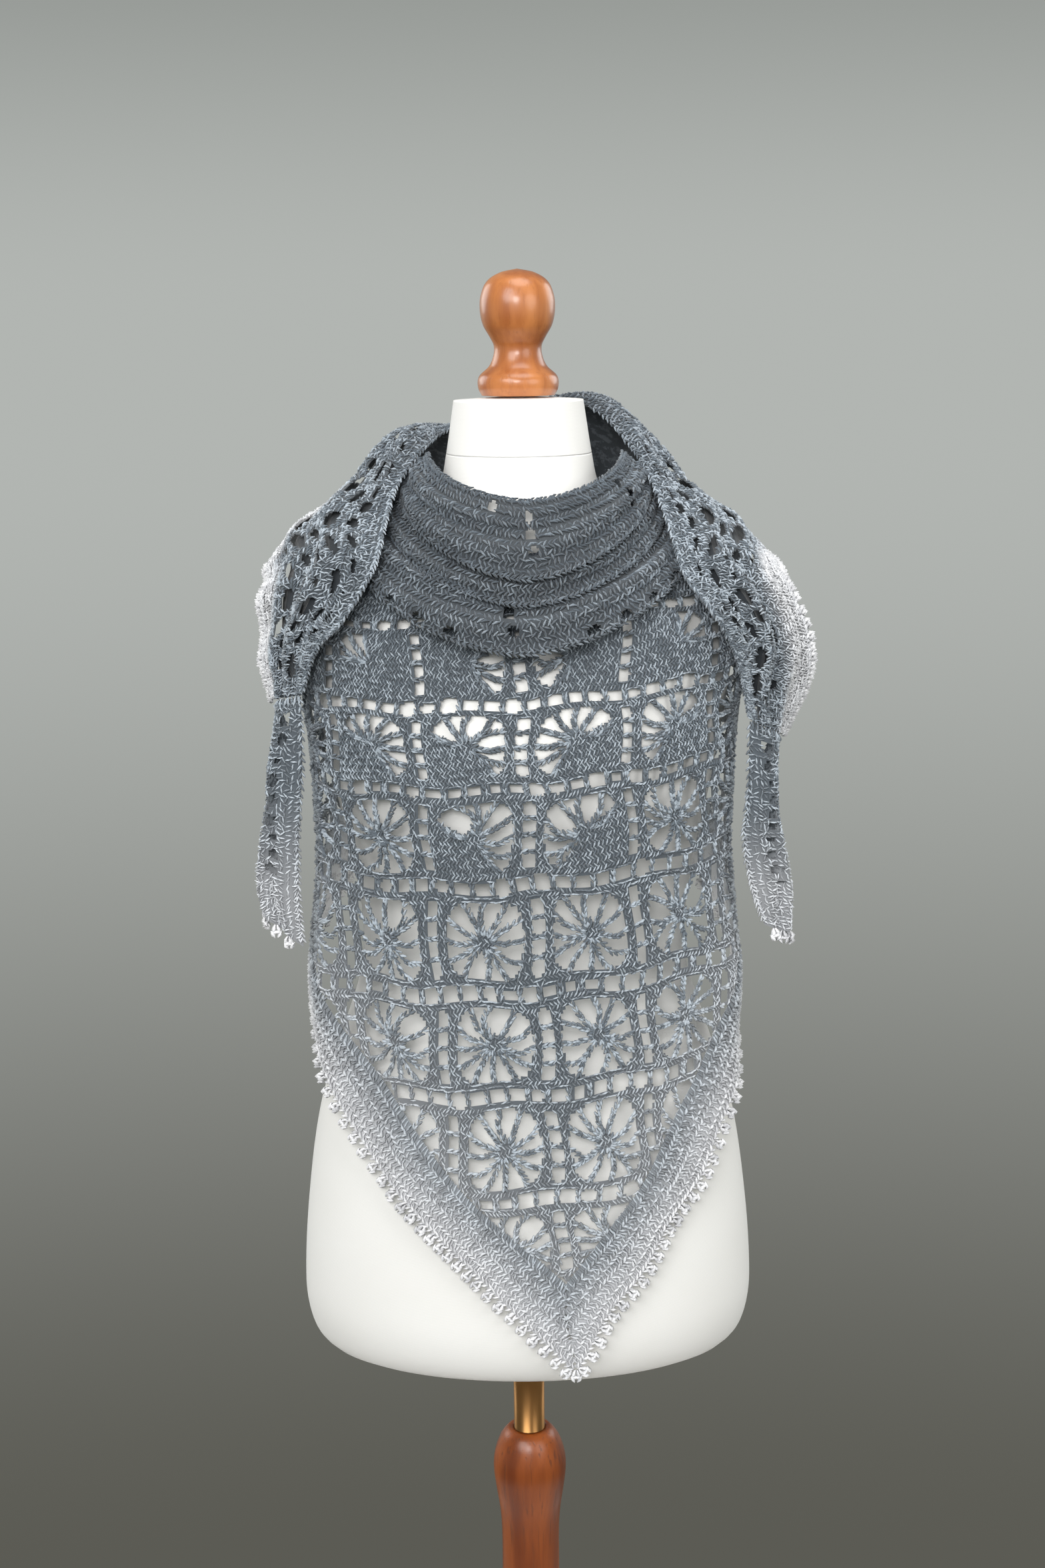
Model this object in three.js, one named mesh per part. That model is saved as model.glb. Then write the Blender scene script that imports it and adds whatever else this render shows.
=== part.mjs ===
// A crocheted lace shawl wound round the neck of a limbless dress form, which stands on a turned post.
// Millimetres, +Z up. The origin is the centre of the base's underside and the form faces -Y.
// Heights on the form are given as drops below the top of its neck.
import * as THREE from "three";

// Heights and sizes of the stand and the form
const NECK_TOP = 1480;
const SEAM_GAP = 0.3;
const BASE_RADIUS = 170;
const BASE_THICKNESS = 28;
const BASE_ROUNDING = 8;
const BASE_BEVEL = 2;
const POST_DROP = 818;
const POST_BORE_RADIUS = 12.8;
const POST_BORE_DEPTH = 360;
const POLE_RADIUS = 12.35;
const POLE_IN_POST = 280;
const NECK_SEAM_DROP = 39;
const NECK_DOME = 3;
const KNOB_HEIGHT = 91;
const ROUND_SIDES = 20;
const FORM_SIDES = 28;

// Cloth: wall, lace repeat, spine and lower edges, in the flat shawl
const CLOTH = 2;
const COLUMN_PITCH = 76;
const ROW_PITCH = 78;
const FRONT_COLUMNS = 3;
const PANEL_ROWS = 8;
const SLOT_ROW = 6;
const SIDE_COLUMNS = 5;
const SIDE_GAP = 2.4;
const SIDE_STEP = 19;
const SIDE_STEPS_A_ROW = 3;
const EDGE_SLOPE = 0.81;
const EDGE_BEND_START = 520;
const EDGE_BEND_RADIUS = 167;
const EDGING_WIDTH = 45;
const EDGING_LENGTH = 772;
const EDGING_GAP = 1.6;
const PICOT_PITCH = 11.5;
const PICOT_HEIGHT = 6.5;
const PICOT_WIDTH = 5;

// Spider motif: a hub, legs of crochet chain and the petal gaps between them, in a rounded square
const PETALS = 12;
const HUB_RADIUS = 6.5;
const LEG_WIDTH = 3.2;
const MOTIF_HALF_WIDTH = 27;
const MOTIF_HALF_HEIGHT = 29;
const MOTIF_SQUARENESS = 4;

// How the panel hangs: its spine drifts to +X, its rows tilt with it and rise a little to the sides
const SPINE_DRIFT = 0.07;
const DRIFT_START_DROP = 240;
const ROW_TILT = 0.065;
const TILT_REACH = 150;
const SIDE_RISE = 6;
const ARC_STEPS = 24;

// Level sections of the form, from the neck to the rounded bottom
const FORM_SECTIONS = [
  { drop: 0, halfWidth: 49, front: 50, back: 50 },
  { drop: 39, halfWidth: 55, front: 55, back: 54 },
  { drop: 62, halfWidth: 60, front: 59, back: 60 },
  { drop: 80, halfWidth: 70, front: 63, back: 67 },
  { drop: 95, halfWidth: 93, front: 68, back: 74 },
  { drop: 112, halfWidth: 126, front: 75, back: 82 },
  { drop: 130, halfWidth: 151, front: 82, back: 89 },
  { drop: 155, halfWidth: 163, front: 92, back: 95 },
  { drop: 190, halfWidth: 160, front: 105, back: 97 },
  { drop: 240, halfWidth: 152, front: 117, back: 95 },
  { drop: 290, halfWidth: 143, front: 110, back: 90 },
  { drop: 350, halfWidth: 130, front: 94, back: 82 },
  { drop: 420, halfWidth: 125, front: 85, back: 79 },
  { drop: 480, halfWidth: 142, front: 91, back: 90 },
  { drop: 540, halfWidth: 161, front: 97, back: 102 },
  { drop: 610, halfWidth: 172, front: 102, back: 111 },
  { drop: 680, halfWidth: 177, front: 103, back: 113 },
  { drop: 712, halfWidth: 174, front: 100, back: 109 },
  { drop: 733, halfWidth: 163, front: 90, back: 98 },
  { drop: 744, halfWidth: 140, front: 74, back: 80 },
  { drop: 748, halfWidth: 100, front: 52, back: 56 },
];
const RING_SPACING = 38;

// Level sections of the hanging panel: it leaves the bust and falls past the waist to the hips
const PANEL_SECTIONS = [
  { drop: 90, halfWidth: 116, front: 74, back: 82 },
  { drop: 120, halfWidth: 147, front: 83.3, back: 93 },
  { drop: 140, halfWidth: 164, front: 92, back: 100 },
  { drop: 165, halfWidth: 172, front: 103, back: 104 },
  { drop: 200, halfWidth: 168, front: 111.5, back: 105 },
  { drop: 240, halfWidth: 163, front: 118.9, back: 103 },
  { drop: 300, halfWidth: 159, front: 121.5, back: 100 },
  { drop: 350, halfWidth: 159, front: 117.5, back: 99 },
  { drop: 405, halfWidth: 164, front: 114.5, back: 100 },
  { drop: 440, halfWidth: 167, front: 113, back: 103 },
  { drop: 485, halfWidth: 165, front: 112, back: 106 },
  { drop: 540, halfWidth: 169, front: 110.5, back: 112 },
  { drop: 610, halfWidth: 179, front: 109.5, back: 120 },
  { drop: 680, halfWidth: 183, front: 109.5, back: 121 },
  { drop: 745, halfWidth: 185, front: 108, back: 120 },
];

// Where each lace row crosses the spine, counted up from the foot of the lace
const ROW_LEVELS = [
  { row: -1, drop: 727 },
  { row: 0, drop: 649 },
  { row: 1, drop: 581 },
  { row: 2, drop: 499 },
  { row: 3, drop: 420 },
  { row: 4, drop: 339 },
  { row: 5, drop: 268 },
  { row: 6, drop: 208 },
  { row: 7, drop: 150 },
  { row: 8, drop: 121 },
];

// Soft upright folds of the panel: azimuth from the front, angular width, depth and the drop they start at
const PANEL_FOLDS = [
  { azimuth: -1.12, width: 0.16, depth: 5, from: 300 },
  { azimuth: -0.74, width: 0.14, depth: -3, from: 320 },
  { azimuth: 0.78, width: 0.14, depth: -3, from: 330 },
  { azimuth: 1.2, width: 0.16, depth: 4.5, from: 310 },
  { azimuth: 1.62, width: 0.16, depth: -4, from: 300 },
  { azimuth: -1.6, width: 0.16, depth: -4, from: 300 },
];
const FOLD_FADE = 70;

// Folds of the top edge round the neck: each band hangs from its top edge to its lower edge
const COWL_BANDS = [
  {
    name: "cowl_upper", reach: 1.54, bulge: 5, shift: 5,
    topWidth: 72, topFront: 76, topBack: 82, topDrop: 68, topSideDrop: 37,
    lowWidth: 92, lowFront: 116, lowBack: 96, lowDrop: 120, lowSideDrop: 61.2,
  },
  {
    name: "cowl_middle", reach: 1.5, bulge: 6, shift: 4,
    topWidth: 76, topFront: 90, topBack: 86, topDrop: 106, topSideDrop: 57,
    lowWidth: 104, lowFront: 115, lowBack: 98, lowDrop: 138, lowSideDrop: 76.5,
  },
  {
    name: "cowl_lower", reach: 1.5, bulge: 7.3, shift: 1,
    topWidth: 90, topFront: 93, topBack: 90, topDrop: 121.5, topSideDrop: 80.5,
    lowWidth: 133, lowFront: 129, lowBack: 100, lowDrop: 171, lowSideDrop: 87.5,
  },
];
const COWL_COLUMNS = 22;
const COWL_ROWS = 4;
const COWL_RISE_POWER = 0.8;

// Wings and tails: each row is a section with its front edge, its crest and its back edge
const WING_LEFT = [
  {
    frontX: 22, frontY: 68, frontDrop: 24, crestX: 24, crestY: 90, crestDrop: 40,
    backX: 26, backY: 104, backDrop: 84,
  },
  {
    frontX: -48, frontY: 56, frontDrop: 24, crestX: -60, crestY: 78, crestDrop: 32,
    backX: -74, backY: 108, backDrop: 92,
  },
  {
    frontX: -69.2, frontY: 10, frontDrop: 34, crestX: -98, crestY: 36, crestDrop: 30,
    backX: -122, backY: 92, backDrop: 104,
  },
  {
    frontX: -90, frontY: -34, frontDrop: 62, crestX: -124, crestY: 8, crestDrop: 58,
    backX: -160, backY: 68, backDrop: 108,
  },
  {
    frontX: -97, frontY: -66, frontDrop: 88, crestX: -150, crestY: -22, crestDrop: 82,
    backX: -186, backY: 30, backDrop: 122,
  },
  {
    frontX: -104, frontY: -92, frontDrop: 114, crestX: -150, crestY: -66, crestDrop: 104,
    backX: -190, backY: -4, backDrop: 132,
  },
  {
    frontX: -126, frontY: -96, frontDrop: 149, crestX: -160, crestY: -80, crestDrop: 142,
    backX: -190, backY: -24, backDrop: 158,
  },
  {
    frontX: -147, frontY: -84, frontDrop: 172, crestX: -170, crestY: -74, crestDrop: 174,
    backX: -189, backY: -38, backDrop: 186,
  },
  {
    frontX: -160, frontY: -69, frontDrop: 208, crestX: -173, crestY: -64, crestDrop: 210,
    backX: -183, backY: -48, backDrop: 214,
  },
];
const WING_RIGHT = [
  {
    frontX: -30, frontY: 84, frontDrop: 12, crestX: -32, crestY: 110, crestDrop: 34,
    backX: -34, backY: 122, backDrop: 88,
  },
  {
    frontX: 46, frontY: 70, frontDrop: 6, crestX: 62, crestY: 96, crestDrop: 10,
    backX: 78, backY: 122, backDrop: 88,
  },
  {
    frontX: 82, frontY: 12, frontDrop: 34, crestX: 100, crestY: 40, crestDrop: 32,
    backX: 122, backY: 96, backDrop: 98,
  },
  {
    frontX: 100, frontY: -32, frontDrop: 66, crestX: 124, crestY: 8, crestDrop: 60,
    backX: 158, backY: 68, backDrop: 104,
  },
  {
    frontX: 109, frontY: -66, frontDrop: 94, crestX: 146, crestY: -22, crestDrop: 80,
    backX: 184, backY: 30, backDrop: 116,
  },
  {
    frontX: 117, frontY: -90, frontDrop: 121, crestX: 152, crestY: -62, crestDrop: 106,
    backX: 190, backY: -4, backDrop: 122,
  },
  {
    frontX: 134, frontY: -93, frontDrop: 143, crestX: 168, crestY: -74, crestDrop: 138,
    backX: 202, backY: -20, backDrop: 146,
  },
  {
    frontX: 149, frontY: -84, frontDrop: 167, crestX: 181, crestY: -72, crestDrop: 174,
    backX: 215, backY: -26, backDrop: 188,
  },
  {
    frontX: 159, frontY: -71, frontDrop: 195, crestX: 182, crestY: -66, crestDrop: 208,
    backX: 206, backY: -32, backDrop: 218,
  },
  {
    frontX: 167, frontY: -57, frontDrop: 231, crestX: 182, crestY: -57, crestDrop: 239,
    backX: 193, backY: -38, backDrop: 246,
  },
];
const TAIL_LEFT = [
  {
    frontX: -160, frontY: -69, frontDrop: 208.6, crestX: -176, crestY: -66, crestDrop: 213,
    backX: -178, backY: -48, backDrop: 219,
  },
  {
    frontX: -161, frontY: -66, frontDrop: 262, crestX: -186, crestY: -64, crestDrop: 262,
    backX: -168, backY: -46, backDrop: 262,
  },
  {
    frontX: -165, frontY: -66, frontDrop: 312, crestX: -191, crestY: -63, crestDrop: 312,
    backX: -170, backY: -44, backDrop: 312,
  },
  {
    frontX: -166, frontY: -66, frontDrop: 360, crestX: -195, crestY: -62, crestDrop: 345,
    backX: -172, backY: -44, backDrop: 345,
  },
  {
    frontX: -164, frontY: -64, frontDrop: 398, crestX: -192, crestY: -60, crestDrop: 372,
    backX: -174, backY: -46, backDrop: 366,
  },
];
const TAIL_RIGHT = [
  {
    frontX: 167, frontY: -57, frontDrop: 232.5, crestX: 187, crestY: -57, crestDrop: 243,
    backX: 184, backY: -39, backDrop: 250,
  },
  {
    frontX: 166, frontY: -60, frontDrop: 285, crestX: 188, crestY: -56, crestDrop: 285,
    backX: 170, backY: -40, backDrop: 285,
  },
  {
    frontX: 163, frontY: -60, frontDrop: 320, crestX: 191, crestY: -56, crestDrop: 320,
    backX: 168, backY: -40, backDrop: 320,
  },
  {
    frontX: 169, frontY: -60, frontDrop: 356, crestX: 197, crestY: -55, crestDrop: 358,
    backX: 174, backY: -40, backDrop: 352,
  },
  {
    frontX: 179, frontY: -59, frontDrop: 386, crestX: 198, crestY: -54, crestDrop: 392,
    backX: 184, backY: -42, backDrop: 380,
  },
];
const WING_STEPS = 2;
const WING_ROWS = 8;
const TAIL_STEPS = 3;
const TAIL_ROWS = 5;
const WING_GAP_EVERY = 5;
const WING_GAP_SIZE = 0.3;
const WING_PLAIN_ROWS = 3;

// Turned profiles: radius, and height above the neck's top or drop below the post's top
const KNOB_PROFILE = [
  { radius: 27, height: 0 },
  { radius: 29.4, height: 5 },
  { radius: 29.8, height: 11 },
  { radius: 28, height: 15 },
  { radius: 21.5, height: 21 },
  { radius: 18, height: 29 },
  { radius: 17.7, height: 36 },
  { radius: 20.5, height: 42 },
  { radius: 25.5, height: 51 },
  { radius: 27.6, height: 62 },
  { radius: 26.6, height: 73 },
  { radius: 21.5, height: 83 },
  { radius: 11, height: 89 },
];
const POST_PROFILE = [
  { radius: 17, drop: 0 },
  { radius: 23, drop: 7 },
  { radius: 28, drop: 21 },
  { radius: 29.2, drop: 34 },
  { radius: 27.5, drop: 50 },
  { radius: 24.5, drop: 70 },
  { radius: 23.2, drop: 90 },
  { radius: 23.2, drop: 128 },
  { radius: 25.5, drop: 320 },
  { radius: 26.5, drop: 560 },
  { radius: 30, drop: 585 },
  { radius: 42, drop: 604 },
  { radius: 44, drop: 618 },
];

// A table column, read smoothly between its rows.
function sample(table, key, at, column) {
  const last = table.length - 1;
  let i = 0;
  while (i < last - 1 && at > table[i + 1][key]) i += 1;
  const span = table[i + 1][key] - table[i][key];
  const t = (at - table[i][key]) / span;
  const slope = (row) => {
    const before = table[Math.max(row - 1, 0)];
    const after = table[Math.min(row + 1, last)];
    return (span * (after[column] - before[column])) / (after[key] - before[key]);
  };
  const [from, to] = [table[i][column], table[i + 1][column]];
  const bend = (1 - t) * (1 - t) * t * slope(i) - t * t * (1 - t) * slope(i + 1);
  return from + (to - from) * t * t * (3 - 2 * t) + bend;
}

// A point of a level section: an ellipse with its own depth before and behind.
function sectionPoint(azimuth, drop, halfWidth, front, back, lift = 0) {
  const depth = Math.cos(azimuth) > 0 ? front : back;
  return new THREE.Vector3(
    (halfWidth + lift) * Math.sin(azimuth),
    -(depth + lift) * Math.cos(azimuth),
    NECK_TOP - drop,
  );
}

// The azimuth reached by going an arc length round a level section from its front.
function azimuthAt(arc, halfWidth, front, back) {
  let azimuth = 0;
  for (let i = 0; i < ARC_STEPS; i++) {
    const depth = Math.cos(azimuth) > 0 ? front : back;
    azimuth += arc / ARC_STEPS / Math.hypot(halfWidth * Math.cos(azimuth), depth * Math.sin(azimuth));
  }
  return azimuth;
}

// A point of the hanging panel, from the flat shawl: across from the spine, and up from the lace's foot.
function panelPoint(across, up) {
  const spineDrop = sample(ROW_LEVELS, "row", up / ROW_PITCH, "drop");
  const drift = SPINE_DRIFT * Math.max(0, spineDrop - DRIFT_START_DROP);
  const tilt = ROW_TILT * TILT_REACH * Math.tanh(across / TILT_REACH);
  const level = spineDrop - tilt;
  const size = (column) => sample(PANEL_SECTIONS, "drop", level, column);
  const [halfWidth, front, back] = [size("halfWidth"), size("front"), size("back")];
  const azimuth = azimuthAt(across + drift, halfWidth, front, back);
  let lift = 0;
  for (const fold of PANEL_FOLDS) {
    const near = Math.exp(-(((azimuth - fold.azimuth) / fold.width) ** 2));
    const fade = 1 / (1 + Math.exp((fold.from - level) / FOLD_FADE));
    lift += fold.depth * near * fade;
  }
  const drop = level - SIDE_RISE * (1 - Math.cos(azimuth));
  return sectionPoint(azimuth, drop, halfWidth, front, back, lift);
}

// A point of a cowl band: azimuth round the neck, and share of the way from its top to its lower edge.
function cowlPoint(band, azimuth, share) {
  const between = (top, low) => band[top] + (band[low] - band[top]) * share;
  const swell = band.bulge * Math.sin(Math.PI * share);
  const side = (1 - Math.cos(azimuth)) ** COWL_RISE_POWER;
  const topDrop = band.topDrop + (band.topSideDrop - band.topDrop) * side;
  const lowDrop = band.lowDrop + (band.lowSideDrop - band.lowDrop) * side;
  const point = sectionPoint(
    azimuth,
    topDrop + (lowDrop - topDrop) * share,
    between("topWidth", "lowWidth"),
    between("topFront", "lowFront"),
    between("topBack", "lowBack"),
    swell,
  );
  point.x += band.shift;
  return point;
}

// A point of a wing or tail: station along it, and share of the way from its front edge to its back edge.
function ribbonPoint(table, station, share) {
  const rows = table.map((row, at) => ({ ...row, at }));
  const weights = {
    front: (1 - share) * (1 - 2 * share),
    crest: 4 * share * (1 - share),
    back: share * (2 * share - 1),
  };
  const total = (axis) =>
    Object.entries(weights).reduce((sum, [edge, w]) => sum + w * sample(rows, "at", station, edge + axis), 0);
  return new THREE.Vector3(total("X"), total("Y"), NECK_TOP - total("Drop"));
}

// The part of a flat polygon on the kept side of a line, given as a signed distance.
const ON_LINE = 0.1;
function clip(polygon, distance) {
  const far = (p) => {
    const d = distance(p);
    return Math.abs(d) < ON_LINE ? 0 : d;
  };
  const kept = [];
  polygon.forEach((p, i) => {
    const q = polygon[(i + 1) % polygon.length];
    if (far(p) >= 0) kept.push(p);
    if (far(p) * far(q) < 0) {
      const [a, b] = far(p) > 0 ? [p, q] : [q, p];
      const t = far(a) / (far(a) - far(b));
      kept.push([a[0] + t * (b[0] - a[0]), a[1] + t * (b[1] - a[1])]);
    }
  });
  return kept;
}

// Flat cloth as triangles on shared points, all turned the same way round.
const POINT_GRID = 200;
class FlatCloth {
  constructor(lines = []) {
    this.lines = lines;
    this.points = [];
    this.lookup = new Map();
    this.triangles = [];
  }

  index([u, v]) {
    const key = `${Math.round(u * POINT_GRID)} ${Math.round(v * POINT_GRID)}`;
    if (!this.lookup.has(key)) {
      this.lookup.set(key, this.points.length);
      this.points.push([u, v]);
    }
    return this.lookup.get(key);
  }

  add(polygon) {
    const kept = this.lines.reduce(clip, polygon);
    for (let i = 2; i < kept.length; i++) {
      const corners = [kept[0], kept[i - 1], kept[i]];
      const [a, b, c] = corners;
      const area = (b[0] - a[0]) * (c[1] - a[1]) - (b[1] - a[1]) * (c[0] - a[0]);
      const ids = (area > 0 ? corners : [a, c, b]).map((p) => this.index(p));
      if (new Set(ids).size === 3) this.triangles.push(ids);
    }
  }
}

// A closed wall of cloth: the flat triangles placed in space, thickened both ways and rimmed all round.
const NORMAL_STEP = 0.005;
function clothWall(flat, place) {
  const sides = [[], []];
  for (const [u, v] of flat.points) {
    const alongU = place(u + NORMAL_STEP, v).sub(place(u - NORMAL_STEP, v));
    const alongV = place(u, v + NORMAL_STEP).sub(place(u, v - NORMAL_STEP));
    const out = alongU.cross(alongV).normalize().multiplyScalar(CLOTH / 2);
    sides[0].push(place(u, v).add(out));
    sides[1].push(place(u, v).sub(out));
  }
  const edges = new Set();
  flat.triangles.forEach(([a, b, c]) => [[a, b], [b, c], [c, a]].forEach((e) => edges.add(e.join())));
  const faces = [];
  for (const [a, b, c] of flat.triangles) {
    faces.push(sides[0][a], sides[0][b], sides[0][c], sides[1][a], sides[1][c], sides[1][b]);
    for (const [p, q] of [[a, b], [b, c], [c, a]]) {
      if (edges.has([q, p].join())) continue;
      faces.push(sides[0][p], sides[1][p], sides[1][q], sides[0][p], sides[1][q], sides[0][q]);
    }
  }
  return new THREE.BufferGeometry().setFromPoints(faces);
}

// A turned piece from rows of radius and height, closed on the axis or round a bore.
function turned(points, sides = ROUND_SIDES) {
  return new THREE.LatheGeometry(points.map(([radius, height]) => new THREE.Vector2(radius, height)), sides)
    .rotateX(Math.PI / 2);
}

// A closed stack of level sections of the form between two drops, with a rise at the top centre.
function formStack(topDrop, lowDrop, dome) {
  const drops = [topDrop];
  FORM_SECTIONS.forEach(({ drop }) => {
    const previous = drops[drops.length - 1];
    const fall = Math.min(drop, lowDrop) - previous;
    const steps = Math.ceil(fall / RING_SPACING);
    for (let i = 1; i <= steps; i++) drops.push(previous + (fall * i) / steps);
  });
  const size = (drop, column) => sample(FORM_SECTIONS, "drop", drop, column);
  const rings = drops.map((drop) =>
    Array.from({ length: FORM_SIDES }, (_, i) => {
      const azimuth = (2 * Math.PI * i) / FORM_SIDES;
      return sectionPoint(azimuth, drop, size(drop, "halfWidth"), size(drop, "front"), size(drop, "back"));
    }),
  );
  const top = new THREE.Vector3(0, 0, NECK_TOP - topDrop + dome);
  const low = new THREE.Vector3(0, 0, NECK_TOP - lowDrop);
  const faces = [];
  for (let i = 0; i < FORM_SIDES; i++) {
    const next = (i + 1) % FORM_SIDES;
    faces.push(top, rings[0][i], rings[0][next]);
    for (let r = 0; r < rings.length - 1; r++) {
      const [a, b, c, d] = [rings[r][i], rings[r][next], rings[r + 1][next], rings[r + 1][i]];
      faces.push(a, d, c, a, c, b);
    }
    faces.push(low, rings[rings.length - 1][next], rings[rings.length - 1][i]);
  }
  return new THREE.BufferGeometry().setFromPoints(faces);
}

// Triangles between an inner loop and an outer loop round one centre, both in order of angle.
function ringBetween(inner, outer, centre) {
  const angle = ([u, v]) => (Math.atan2(v - centre[1], u - centre[0]) + 2 * Math.PI) % (2 * Math.PI);
  const turnTo = (loop, i) => (i < loop.length ? angle(loop[i]) : 2 * Math.PI + angle(loop[0]));
  const polygons = [];
  let [i, j] = [0, 0];
  while (i < inner.length || j < outer.length) {
    const [here, there] = [inner[i % inner.length], outer[j % outer.length]];
    const innerNext = i < inner.length ? turnTo(inner, i + 1) : Infinity;
    const outerNext = j < outer.length ? turnTo(outer, j + 1) : Infinity;
    if (innerNext < outerNext) {
      i += 1;
      polygons.push([here, there, inner[i % inner.length]]);
    } else {
      j += 1;
      polygons.push([here, there, outer[j % outer.length]]);
    }
  }
  return polygons;
}

// Whether a petal gap is open: whole spiders low down, half spiders over the bust, few under the cowl.
const HALF_SPIDER_REACH = -0.3;
const FULL_SPIDER_ROWS = 4;
const SLOT_INWARD = -0.5;
const SLOT_UPWARD = 0.3;
function petalOpen(column, row, angle) {
  const facesSpineAndUp = Math.sin(angle) - Math.cos(angle) > HALF_SPIDER_REACH;
  if (row < FULL_SPIDER_ROWS) return true;
  if (row === FULL_SPIDER_ROWS) return column > 0 || facesSpineAndUp;
  if (row < SLOT_ROW) return facesSpineAndUp;
  return column === 0 && Math.cos(angle) < SLOT_INWARD && Math.sin(angle) < SLOT_UPWARD;
}

// The corners and mid-sides of a repeat, in order of angle round its centre.
function repeatBorder(centre) {
  const signs = [[1, 0], [1, 1], [0, 1], [-1, 1], [-1, 0], [-1, -1], [0, -1], [1, -1]];
  return signs.map(([u, v]) => [centre[0] + (u * COLUMN_PITCH) / 2, centre[1] + (v * ROW_PITCH) / 2]);
}

// The polygons of one spider repeat: hub, legs, frame, and the petals that are worked solid.
function spiderRepeat(column, row, side) {
  const centre = [(column + 0.5) * COLUMN_PITCH, (row + 0.5) * ROW_PITCH];
  const polar = (angle, radius) => [
    centre[0] + radius * Math.cos(angle),
    centre[1] + radius * Math.sin(angle),
  ];
  const rim = (angle) => {
    const across = Math.abs(Math.cos(angle) / MOTIF_HALF_WIDTH) ** MOTIF_SQUARENESS;
    const up = Math.abs(Math.sin(angle) / MOTIF_HALF_HEIGHT) ** MOTIF_SQUARENESS;
    return (across + up) ** (-1 / MOTIF_SQUARENESS);
  };
  const petals = Array.from({ length: PETALS }, (_, k) => {
    const angle = ((k + 0.5) * 2 * Math.PI) / PETALS;
    const sideAngle = (turn) => {
      const leg = angle + (turn * Math.PI) / PETALS;
      return leg - turn * Math.asin(LEG_WIDTH / 2 / rim(leg));
    };
    const [from, to] = [sideAngle(-1), sideAngle(1)];
    return {
      open: petalOpen(column, row, angle),
      hub: polar(angle, HUB_RADIUS),
      from: polar(from, rim(from)),
      middle: polar(angle, rim(angle)),
      to: polar(to, rim(to)),
    };
  });
  const polygons = [petals.map((petal) => petal.hub)];
  petals.forEach((petal, k) => {
    const next = petals[(k + 1) % PETALS];
    polygons.push([petal.hub, petal.to, next.from, next.hub]);
    if (!petal.open) polygons.push([petal.hub, petal.from, petal.middle, petal.to]);
  });
  const loop = petals.flatMap((petal) => [petal.from, petal.middle, petal.to]);
  polygons.push(...ringBetween(loop, repeatBorder(centre), centre));
  return polygons.map((polygon) => polygon.map(([u, v]) => [side * u, v]));
}

// A lower edge runs straight up from the point of the shawl, then bends at the back to run up to the nape.
const edgeTurn = Math.atan(EDGE_SLOPE);
const straightEdge = (along, out) => [
  along * Math.sin(edgeTurn) + out * Math.cos(edgeTurn),
  along * Math.cos(edgeTurn) - out * Math.sin(edgeTurn),
];
const bendCentre = straightEdge(EDGE_BEND_START, -EDGE_BEND_RADIUS);
function edgePoint(along, out) {
  if (along < EDGE_BEND_START) return straightEdge(along, out);
  const turn = edgeTurn - (along - EDGE_BEND_START) / EDGE_BEND_RADIUS;
  const radius = EDGE_BEND_RADIUS + out;
  return [bendCentre[0] + radius * Math.cos(turn), bendCentre[1] - radius * Math.sin(turn)];
}

// Signed distances in the flat shawl, positive on the side that is kept.
function insideEdge([u, v]) {
  const [across, up] = [Math.abs(u) - bendCentre[0], v - bendCentre[1]];
  const bent = across > 0 && Math.atan2(-up, across) < edgeTurn;
  const straight = v * Math.sin(edgeTurn) - Math.abs(u) * Math.cos(edgeTurn);
  return (bent ? EDGE_BEND_RADIUS - Math.hypot(across, up) : straight) - SEAM_GAP / 2;
}
const belowTop = ([, v]) => PANEL_ROWS * ROW_PITCH - v;
const FRONT_HALF = FRONT_COLUMNS * COLUMN_PITCH;

// The polygons of one repeat that is worked solid.
function solidRepeat(column, row, side) {
  const [u, v] = [(column + 0.5) * COLUMN_PITCH, (row + 0.5) * ROW_PITCH];
  const border = repeatBorder([u, v]);
  return border.map((point, i) =>
    [[u, v], point, border[(i + 1) % border.length]].map(([across, up]) => [side * across, up]),
  );
}

function frontPanel() {
  const flat = new FlatCloth([insideEdge, ([u]) => FRONT_HALF - SIDE_GAP / 2 - Math.abs(u)]);
  for (const side of [-1, 1]) {
    for (let column = 0; column < FRONT_COLUMNS; column++) {
      for (let row = 0; row < PANEL_ROWS; row++) {
        const solid = row > SLOT_ROW || (row === SLOT_ROW && column > 0);
        const repeat = solid ? solidRepeat : spiderRepeat;
        repeat(column, row, side).forEach((polygon) => flat.add(polygon));
      }
    }
  }
  return clothWall(flat, panelPoint);
}

function sidePanel(side) {
  const flat = new FlatCloth([
    insideEdge,
    ([u]) => side * u - FRONT_HALF - SIDE_GAP / 2,
  ]);
  const columns = (SIDE_COLUMNS * COLUMN_PITCH - FRONT_HALF) / SIDE_STEP;
  const rows = PANEL_ROWS * SIDE_STEPS_A_ROW;
  for (let i = 0; i < columns; i++) {
    for (let j = 0; j < rows; j++) {
      const [left, right] = [i, i + 1].map((k) => side * (FRONT_HALF + k * SIDE_STEP));
      const [low, high] = [j, j + 1].map((k) => (k * ROW_PITCH) / SIDE_STEPS_A_ROW);
      flat.add([[left, low], [right, low], [right, high], [left, high]]);
    }
  }
  return clothWall(flat, panelPoint);
}

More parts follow.
